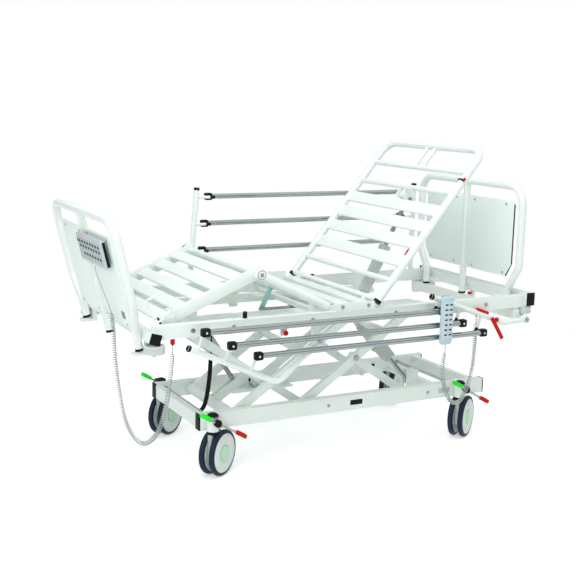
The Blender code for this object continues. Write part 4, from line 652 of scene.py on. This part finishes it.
slat_tree, given, facing = group("slats", "Length", "Width", "Thickness", "Corner", "Finish")
outline = add_node(slat_tree, "GeometryNodeCurvePrimitiveQuadrilateral",
                   {"Width": given["Width"], "Height": given["Thickness"]})
rounded = add_node(slat_tree, "GeometryNodeFilletCurve", {1: 3, "Curve": outline, "Radius": given["Corner"]},
                   mode="POLY")
tips = [add_node(slat_tree, "ShaderNodeCombineXYZ", {"Z": times(slat_tree, given["Length"], half)})
        for half in (-0.5, 0.5)]
spine = add_node(slat_tree, "GeometryNodeCurvePrimitiveLine", {"Start": tips[0], "End": tips[1]})
slat = add_node(slat_tree, "GeometryNodeCurveToMesh", {"Fill Caps": True, "Curve": spine, "Profile Curve": rounded})
scatter(slat_tree, given, slat, add_node(slat_tree, "FunctionNodeAxesToRotation",
        {"Primary Axis": (0, 1, 0), "Secondary Axis": facing}, primary_axis="Z", secondary_axis="Y"))


def slats(name, places, normal, length):
    """Row of flat slats across the bed at the given centres, square to a normal."""
    return repeat(name, slat_tree, places, normal, {"Length": length, "Width": 0.06, "Thickness": 0.012,
            "Corner": 0.0035}, enamel)


back_length, back_half, tube_radius, bar_radius = 0.84, 0.39, 0.0175, 0.0125
slope = at(back_pivot) @ Matrix.Rotation(-back_angle, 4, "Y")
hairpin = bent([back_point(u, v, 0) for u, v in ((-0.014, back_half), (back_length, back_half),
        (back_length, -back_half), (-0.014, -back_half))], 0.075, 12)
made = coat(enamel, tube(hairpin, tube_radius, 28))
made.append(slats("back_slats", [back_point(u, 0, 0) for u in (0.21, 0.31, 0.4, 0.49)],
                  back_point(0, 0, 1) - back_point(0, 0, 0), 2 * back_half - 0.01))
made += coat(enamel, *[rod(back_point(u, -back_half, 0), back_point(u, back_half, 0), bar_radius)
        for u in (0.0, 0.105, 0.592, 0.71)])
for side in (-1, 1):
    inner, outer = sorted((side * 0.013, side * 0.021))
    made += coat(enamel, rod(back_point(0.71, side * 0.032, 0), back_point(back_length, side * 0.032, 0), 0.01),
                 block((0.54, inner, -0.071), (0.598, outer, 0.004), 0.002, slope))
stand_in("back_section", made)
bolts("back_motor_bolt", [back_point(0.56, -0.0218, -0.055)], (0, -1, 0), "back_section", 0.014, 0.005)
made = coat(black, block((0.658, -back_half - 0.0192, 0.002), (0.669, -back_half + 0.0192, 0.0192), 0.005, slope,
        4))
made += coat(red_nylon, block((0.659, -back_half - 0.0225, 0.006), (0.676, -back_half - 0.015, 0.0165), 0.0025,
        slope, 3))
made += coat(black, *[rod(back_point(-0.0155, y, 0), back_point(-0.0005, y, 0), tube_radius + 0.0003, 28)
        for y in (-back_half, back_half)])
show("back_tube_clips", made, None, "back_section")

# Thigh and calf sections: slatted steel frames hinged together at the knee, white-coated. The thigh frame is
# round tube, the calf frame rectangular tube with wire mattress stops at its foot end.
thigh_slope = at(hip) @ Matrix.Rotation(thigh_angle, 4, "Y") @ spin(180, "Z")
thigh_length, thigh_half = 0.345, 0.3875
knee = thigh_slope @ Vector((thigh_length, 0, 0))
calf_slope = at(knee) @ spin(-calf_angle) @ spin(180, "Z")
thigh_normal, calf_normal = [(slope.to_3x3() @ Vector((0, 0, 1))).normalized()
        for slope in (thigh_slope, calf_slope)]


def thigh_point(u, v):
    """Point of the thigh section: u from the hip to the knee, v across."""
    return thigh_slope @ Vector((u, v, 0))


made = [slats("thigh_slats", [thigh_point(u, 0) for u in (0.105, 0.195, 0.275)], thigh_normal,
              2 * thigh_half - 0.01)]
made += coat(enamel, *[tube([thigh_point(-0.014, y), thigh_point(thigh_length + 0.014, y)], tube_radius, 28)
        for y in (-thigh_half, thigh_half)])
made += coat(enamel, *[rod(thigh_point(u, -thigh_half), thigh_point(u, thigh_half), bar_radius)
        for u in (0.0, thigh_length)])
lever_teal = shaded("pale_teal_casting", "#9CCBC4", "#8DBFB8", 0.4, bump=0.08, cloud_mm=50)
lever_run = lever_tip - hip
made += coat(lever_teal, block((0.0, -0.004, -0.012), (lever_run.length + 0.01, 0.004, 0.012), 0.002,
        along((hip.x, 0.11, hip.z), lever_run)))
stand_in("thigh_section", made)
calf_length, calf_half, calf_high = 0.455, 0.352, 0.025
made = [slats("calf_slats", [calf_slope @ Vector((u, 0, 0.01)) for u in (0.075, 0.165, 0.255, 0.345, 0.43)],
              calf_normal, 2 * calf_half - 0.008)]
for side in (-1, 1):
    y, out = side * calf_half, side * (calf_half + 0.033)
    made += coat(enamel, block((-0.022, y - 0.01, -calf_high), (calf_length, y + 0.01, calf_high), 0.003,
            calf_slope))
    made += coat(black, block((calf_length - 0.003, y - 0.0085, -calf_high + 0.0015),
            (calf_length + 0.004, y + 0.0085, calf_high - 0.0015), 0.002, calf_slope))
    wire = [(0.445, y, 0.018), (0.445, out, 0.018), (0.482, out, 0.018), (0.482, out, 0.12), (0.405, out, 0.12),
            (0.405, out, 0.0), (0.405, y, 0.0)]
    made += coat(enamel, tube(bent([calf_slope @ Vector(p) for p in wire], 0.009, 5), 0.0036, 14))
stand_in("calf_section", made)
hinge_dark = shaded("hinge_ring_grey", "#4A5256", "#40484C", 0.45, bump=0.04, cloud_mm=30)
show("knee_plates", [cross(knee.x, y, knee.z, 0.0025, 0.024, 32, 0.001)
                     for y in (-calf_half - 0.013, calf_half + 0.013)], enamel, "calf_section")
for label, side in sides:
    y = side * (thigh_half + tube_radius)
    discs = [coat(look, rod((knee.x, y - side * 0.002, knee.z), (knee.x, y + side * reach, knee.z), radius, 40,
            0.0006))[0] for reach, radius, look in ((0.0016, 0.0225, enamel), (0.0022, 0.0192, hinge_dark),
            (0.003, 0.017, enamel))]
    show("knee_hinge_cover_" + label, discs, None, "thigh_section")
    bolts("knee_bolt_" + label, [(knee.x, y + side * 0.0035, knee.z)], (0, side, 0), "thigh_section", 0.011, 0.005)


# Side rails: on each side two cranked arms on pivot pins carry three chromed tubes, whose black end caps
# are held by pale rivets. The near rail is folded down, the far one is up.
chrome = shaded("polished_chrome", "#B0B9B9", "#A1ABAC", 0.12, metallic=1.0, grain_mm=3.0, bump=0.01,
                cloud_mm=120)
rivet_look = shaded("pale_rivet", "#DDE2E2", "#CDD3D3", 0.35, bump=0.03, cloud_mm=20)
rail_y, arm_y, rail_radius = 0.477, 0.442, 0.0125
rail_foot = Vector((-0.136, 0.0, 0.59))
rail_head = rail_foot + Vector((1.116, 0, 0))
levels = {"top": (-0.1, 0.52), "middle": (-0.12, 0.39), "bottom": (-0.13, 0.26)}
arm_shapes = {"foot": ((-0.22, 0.119), (-0.186, 0.567)), "head": ((-0.05, 0.119), (-0.05, 0.567))}
latch = (-0.048, 0.178)
for (label, side), folded in zip(sides, (70, 0)):
    fold = spin(-folded)

    def swung(pivot, offset, y):
        """Point at an offset from a rail pivot when the rail stands as stored."""
        place = pivot + fold @ Vector((offset[0], 0, offset[1]))
        return Vector((place.x, side * y, place.z))

    for level in levels:
        node = "rail_tube_" + level + "_" + label
        low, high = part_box(node)
        middle = centre_of(node)
        start, stop = [Vector((x - datum.x, middle.y, middle.z)) for x in (low.x, high.x)]
        made = coat(chrome, rod(start + Vector((0.004, 0, 0)), stop - Vector((0.004, 0, 0)), rail_radius - 0.0001,
                36))
        for tip_x, way_in in ((start.x, 1), (stop.x, -1)):
            left, right = sorted((tip_x, tip_x + way_in * 0.037))
            mark = (tip_x + way_in * 0.018, start.y, start.z)
            made += coat(black, block((left, start.y - 0.0155, start.z - 0.0172),
                    (right, start.y + 0.0155, start.z + 0.0172), 0.0072, None, 4))
            made += coat(rivet_look, cross(*mark, 0.0164, 0.0046, 20))
        stand_in(node, made)
    for end, pivot in (("foot", rail_foot), ("head", rail_head)):
        bend, tip = arm_shapes[end]
        hinge, elbow, top = [swung(pivot, offset, arm_y) for offset in ((0, 0), bend, tip)]
        inward = (elbow - top).normalized()
        made = coat(enamel, tube(bent([hinge, elbow, top], 0.05, 10), 0.0125, 28),
                    rod(swung(pivot, (0, 0), arm_y - 0.0123), swung(pivot, (0, 0), arm_y + 0.0123), 0.0182, 32))
        made += coat(black, rod(top + inward * 0.014, top - inward * 0.001, 0.0138, 28, 0.003))
        for offset in levels.values():
            share = (offset[1] - bend[1]) / (tip[1] - bend[1])
            outer = swung(pivot, offset, arm_y)
            inner = swung(pivot, (bend[0] + (tip[0] - bend[0]) * share, offset[1]), arm_y)
            stub = outer + (inner - outer).normalized() * 0.018
            made += coat(enamel, rod(inner, stub, 0.007, 18))
            ferrule = swung(pivot, offset, arm_y - 0.0065), swung(pivot, offset, rail_y - rail_radius - 0.0004)
            made += coat(black, rod(stub, outer, 0.0072, 18), rod(*ferrule, 0.0082, 20))
        if end == "head":
            made += coat(zinc, rod(swung(pivot, latch, arm_y), swung(pivot, latch, arm_y + 0.019), 0.004, 16))
        stand_in("rail_arm_" + end + "_" + label, made)
        bolts("rail_pivot_bolt_" + end + "_" + label, [swung(pivot, (0, 0), arm_y + 0.0153)], (0, side, 0),
              "platform", 0.014, 0.004)
    # Red release handle: a moulded grip on the head arm that the nurse squeezes to fold the rail.
    y = arm_y + 0.0125 + 0.0003 + 0.004
    top = swung(rail_head, (-0.049, 0.208), y)
    run = swung(rail_head, (-0.121, 0.111), y) - top
    grip = [block((-0.002, -0.0038, -0.0095), (run.length + 0.002, 0.0038, 0.0095), 0.0036, along(top, run), 4),
            rod(swung(rail_head, latch, y - 0.0036), swung(rail_head, latch, y + 0.0044), 0.0105, 28, 0.001)]
    stand_in("rail_release_" + label, grip, red_nylon)
    if label == "near":
        sleeve = block((-0.04, -arm_y - 0.009, 0.226), (-0.0255, -arm_y + 0.009, 0.296), 0.0045,
                       at(rail_head) @ fold, 3)
        show("release_slide", sleeve, red_nylon, body_of("rail_arm_head_near"))

# Head and foot boards: bent tube loops with a centre post, and two laminate panels each that are pinned
# between post and loop. Each head panel has painted shade along its near edge: a black strip where the gap
# beside the next tube falls into shade.
laminate = shaded("pale_laminate", "#E9F4F0", "#E6F1ED", 0.38, grain_mm=1.4, bump=0.02, cloud_mm=900,
                  specular=0.35)


def eased(before, corner, after, share, bend, steps):
    """Points of one rounded corner, which takes no more than a share of its shorter side."""
    a, b = before - corner, after - corner
    reach = min(a.length, b.length) * share
    return bent([corner + a.normalized() * reach, corner, corner + b.normalized() * reach], bend, steps)[1:-1]


def board_loop(base_half, base, knee, flare, top):
    """Path of a board's tube: up one leg, out to full width, over the top and down the other leg."""
    half = 0.4
    flat = [Vector((0, y, z)) for y, z in ((base_half, base), (base_half, knee), (half, flare), (half, top),
            (-half, top), (-half, flare), (-base_half, knee), (-base_half, base))]
    path = flat[:1]
    for before, corner, after in zip(flat, flat[1:], flat[2:]):
        path += eased(before, corner, after, 0.49, 0.1 if abs(corner.z - top) < 1e-6 else 0.045, 8)
    return path + flat[-1:]


def panel_mesh(y_low, y_high, z_low, z_high, thick, cut_low):
    """Board panel in the plane x = 0 with round corners; cut_low is the side whose lower corner is cut off."""
    corners = [(y_low, z_low), (y_high, z_low), (y_high, z_high), (y_low, z_high)]
    if cut_low < 0:
        corners = [(y_low, z_low + 0.06), (y_low + 0.04, z_low)] + corners[1:]
    if cut_low > 0:
        corners = [corners[0], (y_high - 0.04, z_low), (y_high, z_low + 0.06)] + corners[2:]
    flat = [Vector((0, y, z)) for y, z in corners]
    outline = []
    for i, corner in enumerate(flat):
        outline += eased(flat[i - 1], corner, flat[(i + 1) % len(flat)], 0.45, 0.014, 4)
    shape = bmesh.new()
    front = shape.faces.new([shape.verts.new(p + Vector((-thick / 2, 0, 0))) for p in outline])
    wall = bmesh.ops.extrude_face_region(shape, geom=[front])
    bmesh.ops.translate(shape, verts=[v for v in wall["geom"] if isinstance(v, bmesh.types.BMVert)],
                        vec=(thick, 0, 0))
    bmesh.ops.recalc_face_normals(shape, faces=shape.faces)
    rim = [e for e in shape.edges if abs(e.verts[0].co.x - e.verts[1].co.x) < 1e-6]
    bmesh.ops.bevel(shape, geom=rim, offset=0.0016, segments=2, affect="EDGES", profile=0.5)
    return baked(shape, "panel")


post_y, post_radius, board_radius, panel_half = 0.02, 0.0165, 0.0175, 0.345
gap = post_radius + 0.0006
at_head = at((0.959, 0, 0))
foot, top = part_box("head_board_frame")[0].z, 1.205
made = coat(enamel, tube(board_loop(0.328, foot + 0.004, 0.715, 0.83, top), board_radius, 28),
            rod((0, post_y, foot), (0, post_y, top), post_radius, 28))
for y in (-0.328, 0.328, post_y):
    made += coat(black, rod((0, y, foot), (0, y, foot + 0.012), board_radius + 0.0008, 28, 0.003))
    made += coat(enamel, block((0.01, y - 0.014, foot + 0.014), (0.031, y + 0.014, foot + 0.036)))
stand_in("head_board_frame", made, turn=at_head)
for label, y_low, y_high, cut in (("near", -panel_half, post_y - gap, -1), ("far", post_y + gap, panel_half, 1)):
    made = coat(laminate, panel_mesh(y_low, y_high, 0.775, 1.135, 0.012, cut))
    # Painted shade: a black strip along the panel's near edge, and round its cut lower corner, darkens the gap beside
    # the tube.
    gap_shade_low = 0.775 + (0.064 if cut < 0 else 0.012)
    made += coat(black, block((-0.0042, y_low - 0.0004, gap_shade_low), (0.0042, y_low + 0.004, 1.122), 0.0012))
    if cut < 0:
        made += coat(black, tube([(0, y_low + 0.0015, 0.8385), (0, y_low + 0.0385, 0.7775)], 0.004, 12))
    stand_in("head_panel", made, tag="_" + label, turn=at_head)
    bolts("head_panel_pins_" + label, [Vector((0.9522, y, z)) for y in (y_low + 0.055, y_high - 0.055)
            for z in (0.792, 1.118)], (-1, 0, 0), "platform", 0.007, 0.002, 16)
lean = at((-0.904, 0, 0.63)) @ spin(-13.9)
outward = lean.to_3x3() @ Vector((-1, 0, 0))
leg_low, top = -0.04, 0.5
made = coat(enamel, tube(board_loop(0.345, leg_low, 0.04, 0.16, top), board_radius, 28),
            rod((0, post_y, leg_low), (0, post_y, top), post_radius, 28))
for y, radius in ((-0.345, board_radius), (0.345, board_radius), (post_y, post_radius)):
    made += coat(black, rod((0, y, leg_low + 0.0005), (0, y, leg_low + 0.014), radius + 0.0008, 28, 0.002))
stand_in("foot_board_frame", made, turn=lean)
for label, y_low, y_high in (("near", -panel_half + 0.02, post_y - gap), ("far", post_y + gap, panel_half - 0.02)):
    mesh = panel_mesh(y_low, y_high, 0.045, 0.425, 0.012, 0)
    stand_in("foot_panel", mesh, laminate, "_" + label, turn=lean)
    bolts("foot_panel_pins_" + label, [lean @ Vector((-0.0068, y, z)) for y in (y_low + 0.035, y_high - 0.045)
            for z in (0.062, 0.408)], outward, "platform", 0.007, 0.002, 16)
smoked = shaded("smoked_window", "#69777A", "#5F6D70", 0.25, bump=0.02, cloud_mm=60)
show("foot_panel_sight_window", block((-0.0072, -0.284, 0.082), (-0.006, -0.246, 0.112), 0.0005, lean), smoked,
     "platform")

# Nurse's control panel and hand control: moulded ABS cases, softly textured, with rows of rubber keys in
# a darker field. The keys are bare.
case_grey = shaded("moulded_abs_case", "#C3CACD", "#B9C0C4", 0.42, grain_mm=0.8, bump=0.1, cloud_mm=80)
key_field = shaded("matt_key_field", "#B4BDC1", "#AAB4B9", 0.55, grain_mm=0.6, cloud_mm=40)
key_rubber = shaded("silicone_keys", "#2C3338", "#252B30", 0.6, grain_mm=0.6, cloud_mm=20)
key_tree, given, facing = group("keys", "Width", "Length", "Height", "Finish")
key_size = add_node(key_tree, "ShaderNodeCombineXYZ", {"X": given["Width"], "Y": given["Length"],
        "Z": given["Height"]})
key = add_node(key_tree, "GeometryNodeMeshCube", {"Vertices X": 3, "Vertices Y": 3, "Vertices Z": 3,
        "Size": key_size})
soft_key = add_node(key_tree, "GeometryNodeSubdivisionSurface", {"Level": 2, "Mesh": key})
scatter(key_tree, given, soft_key, add_node(key_tree, "FunctionNodeAxesToRotation",
        {"Primary Axis": facing, "Secondary Axis": (0, 1, 0)}, primary_axis="Z", secondary_axis="Y"))


def keys(name, places, aim, width, length, look, height=0.0032):
    """Row of soft keys of one colour."""
    return repeat(name, key_tree, places, aim, {"Width": width, "Length": length, "Height": height}, look)


back_face = -post_radius * 0.955 - 0.0003
face = back_face - 0.026
made = coat(case_grey, block((face + 0.002, -0.3, 0.3), (back_face, 0.018, 0.417), 0.0075, lean, 4))
made += coat(key_field, block((face + 0.0004, -0.285, 0.314), (face + 0.006, 0.003, 0.403), 0.0015, lean, 3))
made += coat(black, block((face + 0.009, -0.3008, 0.306), (back_face - 0.002, -0.29, 0.411), 0.004, lean, 4))
rows = [lean @ Vector((face + 0.0004, -0.27 + 0.034 * i, z)) for z, count in ((0.388, 8), (0.368, 8), (0.338, 7))
        for i in range(count)]
made.append(keys("nurse_keys", rows, outward, 0.012, 0.018, key_rubber))
made.append(keys("nurse_stop_key", [lean @ Vector((face + 0.0002, -0.006, 0.388))], outward, 0.014, 0.012,
                 red_nylon, 0.005))
stand_in("nurse_panel", made)
low, high = Vector((0.44, -0.524, 0.53)), Vector((0.502, -0.496, 0.748))
handset_grey = shaded("moulded_handset_abs", "#BCD2DA", "#B1C8D1", 0.42, grain_mm=0.8, bump=0.08, cloud_mm=70)
handset_field = shaded("handset_field", "#CBDAE0", "#C2D2D9", 0.5, grain_mm=0.6, cloud_mm=40)
made = coat(handset_grey, block(low, high, 0.0132, None, 6))
made += coat(handset_field, block((low.x + 0.008, low.y - 0.0006, low.z + 0.03),
        (high.x - 0.008, low.y + 0.004, high.z - 0.022), 0.0015, None, 3))
rows = [Vector((x, low.y - 0.0006, low.z + 0.046 + 0.0225 * i)) for i in range(7) for x in (0.459, 0.483)]
made.append(keys("hand_keys", rows, (0, -1, 0), 0.016, 0.007, key_rubber))
rail = centre_of("rail_tube_top_near")
strap = [(0.471, high.y - 0.003, rail.z - 0.012), (0.471, high.y + 0.002, rail.z + 0.004)]
strap += [(0.471, rail.y - 0.0155 * cos(radians(a)), rail.z + 0.0155 * sin(radians(a))) for a in range(20, 189, 13)]
made += coat(black, tube(strap, 0.0026, 12), block((0.452, high.y - 0.004, 0.728), (0.49, high.y + 0.0022, 0.7465),
        0.0022, None, 3))
stand_in("hand_control", made)

# Pull knobs: red moulded knobs that release the board and the leg section's catch.
for node, axis, wide in (("pull_knob_foot", (0, -1, 0), 1.22), ("pull_knob_head", (-1, 0, 0), 1.0)):
    half = 0.0105
    knob = lathe([(0.0, half), (0.006 * wide, half), (0.0086 * wide, half - 0.0016), (0.009 * wide, half - 0.0045),
                  (0.0072, half - 0.0085), (0.005, half - 0.0105), (0.005, -half + 0.0005), (0.0, -half + 0.0005)],
                 32, at(centre_of(node)) @ Vector(axis).to_track_quat("Z", "Y").to_matrix().to_4x4())
    stand_in(node, knob, red_nylon)

# Cords: limp curly cords of pale PVC from both controls to red plugs under the frame, and a black
# corrugated hose that leads the motor cable down to the chassis.
cord_look = shaded("pale_pvc_cord", "#AEB7B4", "#A3ADAA", 0.5, bump=0.03, cloud_mm=40)
hose_look = shaded("black_hose_rubber", "#070809", "#0D0E10", 0.55, bump=0.08, cloud_mm=40, specular=0.22)


def route_points(points, count):
    """Points at equal steps along a smooth curve through a cord's route, and the curve's length."""
    knots = [Vector(p) for p in points]
    knots = [knots[0] * 2 - knots[1]] + knots + [knots[-1] * 2 - knots[-2]]
    fine = []
    for a, b, c, d in zip(knots, knots[1:], knots[2:], knots[3:]):
        for t in [j / 24 for j in range(24)]:
            fine.append(0.5 * (2 * b + (c - a) * t + (2 * a - 5 * b + 4 * c - d) * t * t +
                               (3 * b - a - 3 * c + d) * t * t * t))
    fine.append(knots[-2])
    lengths = [0.0]
    for p, q in zip(fine, fine[1:]):
        lengths.append(lengths[-1] + (q - p).length)
    path = []
    k = 0
    for i in range(count):
        goal = lengths[-1] * i / (count - 1)
        while k < len(lengths) - 2 and lengths[k + 1] < goal:
            k += 1
        path.append(fine[k].lerp(fine[k + 1], (goal - lengths[k]) / (lengths[k + 1] - lengths[k])))
    return path, lengths[-1]


def curls(route, pitch, radius, lead_in, lead_out, per_turn=14):
    """Centre line of a curly cord: straight leads and a helix of the given pitch round the route between them."""
    count = 1200
    path, length = route_points(route, count + 1)
    first, last = round(lead_in / length * count), count - round(lead_out / length * count)
    steps = round((length - lead_in - lead_out) / pitch) * per_turn
    side = Vector((0, 0, 1)).cross(path[1] - path[0])
    if side.length < 1e-6:
        side = Vector((1, 0, 0))
    sides = []
    for i in range(len(path)):
        ahead = (path[min(i + 1, count)] - path[max(i - 1, 0)]).normalized()
        side = (side - ahead * side.dot(ahead)).normalized()
        sides.append((side.copy(), ahead.cross(side)))
    points = [path[round(first * i / 8)] for i in range(8)]
    for i in range(steps + 1):
        place = first + (last - first) * i / steps
        low = min(int(place), count - 1)
        grow = min(1.0, i / per_turn, (steps - i) / per_turn)
        one, two = sides[low]
        angle = 2 * pi * i / per_turn
        points.append(path[low].lerp(path[low + 1], place - low) + (one * cos(angle) +
                two * sin(angle)) * radius * grow)
    return points + [path[last + round((count - last) * i / 6)] for i in range(1, 7)]


nurse_route = ((-1.003, -0.12, 0.905), (-0.999, -0.122, 0.88), (-0.975, -0.14, 0.8), (-0.955, -0.165, 0.73),
               (-0.948, -0.178, 0.66), (-0.945, -0.184, 0.56), (-0.936, -0.2, 0.427), (-0.92, -0.222, 0.3),
               (-0.895, -0.256, 0.22), (-0.86, -0.303, 0.19), (-0.824, -0.355, 0.247), (-0.801, -0.38, 0.35),
               (-0.79, -0.392, 0.44), (-0.782, -0.398, 0.53), (-0.778, -0.4, 0.59), (-0.778, -0.4, 0.6155))
handset_route = ((0.471, -0.51, 0.5297), (0.471, -0.51, 0.5), (0.462, -0.51, 0.44), (0.466, -0.51, 0.38),
                 (0.49, -0.505, 0.31), (0.535, -0.49, 0.255), (0.6, -0.465, 0.24), (0.66, -0.44, 0.29),
                 (0.7, -0.42, 0.37), (0.718, -0.405, 0.47), (0.724, -0.4, 0.56), (0.724, -0.4, 0.6155))
for owner, route, lead_in in (("nurse", nurse_route, 0.2), ("handset", handset_route, 0.035)):
    path = [p + datum for p in curls(route, 0.0095, 0.008, lead_in, 0.03)]
    cord = stand_in(owner + "_cord", tube(path, 0.0019, 8), cord_look, moved=False)
    low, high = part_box(owner + "_plug")
    half = (high.z - low.z) / 2
    plug = lathe([(0.0, half), (0.0098, half), (0.0098, half - 0.01), (0.0086, half - 0.011),
                  (0.0086, half - 0.014), (0.0096, half - 0.015), (0.009, -half + 0.006), (0.005, -half),
                  (0.0, -half)], 32, at(centre_of(owner + "_plug")))
    stand_in(owner + "_plug", plug, red_nylon)
hose_route = ((-0.478, -0.1, 0.5917), (-0.478, -0.1, 0.56), (-0.479, -0.1, 0.5), (-0.482, -0.1, 0.43),
              (-0.487, -0.1, 0.364), (-0.496, -0.1, 0.3), (-0.508, -0.1, 0.255), (-0.525, -0.1, 0.232),
              (-0.546, -0.1, 0.226), (-0.562, -0.1, 0.226), (-0.5755, -0.1, 0.226))
path = [p + datum for p in route_points(hose_route, 181)[0]]
made = coat(hose_look, tube(path[:56], 0.0036, 16), tube(path[52:], 0.01, 22, ribs=0.13))
hose = stand_in("lift_hose", made, moved=False, body="chassis")
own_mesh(hose)
earth_look = shaded("green_yellow_wire", "#C9D21E", "#BAC817", 0.45, bump=0.03, cloud_mm=9)
earth = tube(bent([(-0.5745, -0.106, 0.236), (-0.566, -0.118, 0.244), (-0.572, -0.134, 0.238),
                   (-0.5765, -0.14, 0.236)], 0.008, 5), 0.0017, 10)
show("earth_wire", earth, earth_look, "chassis")
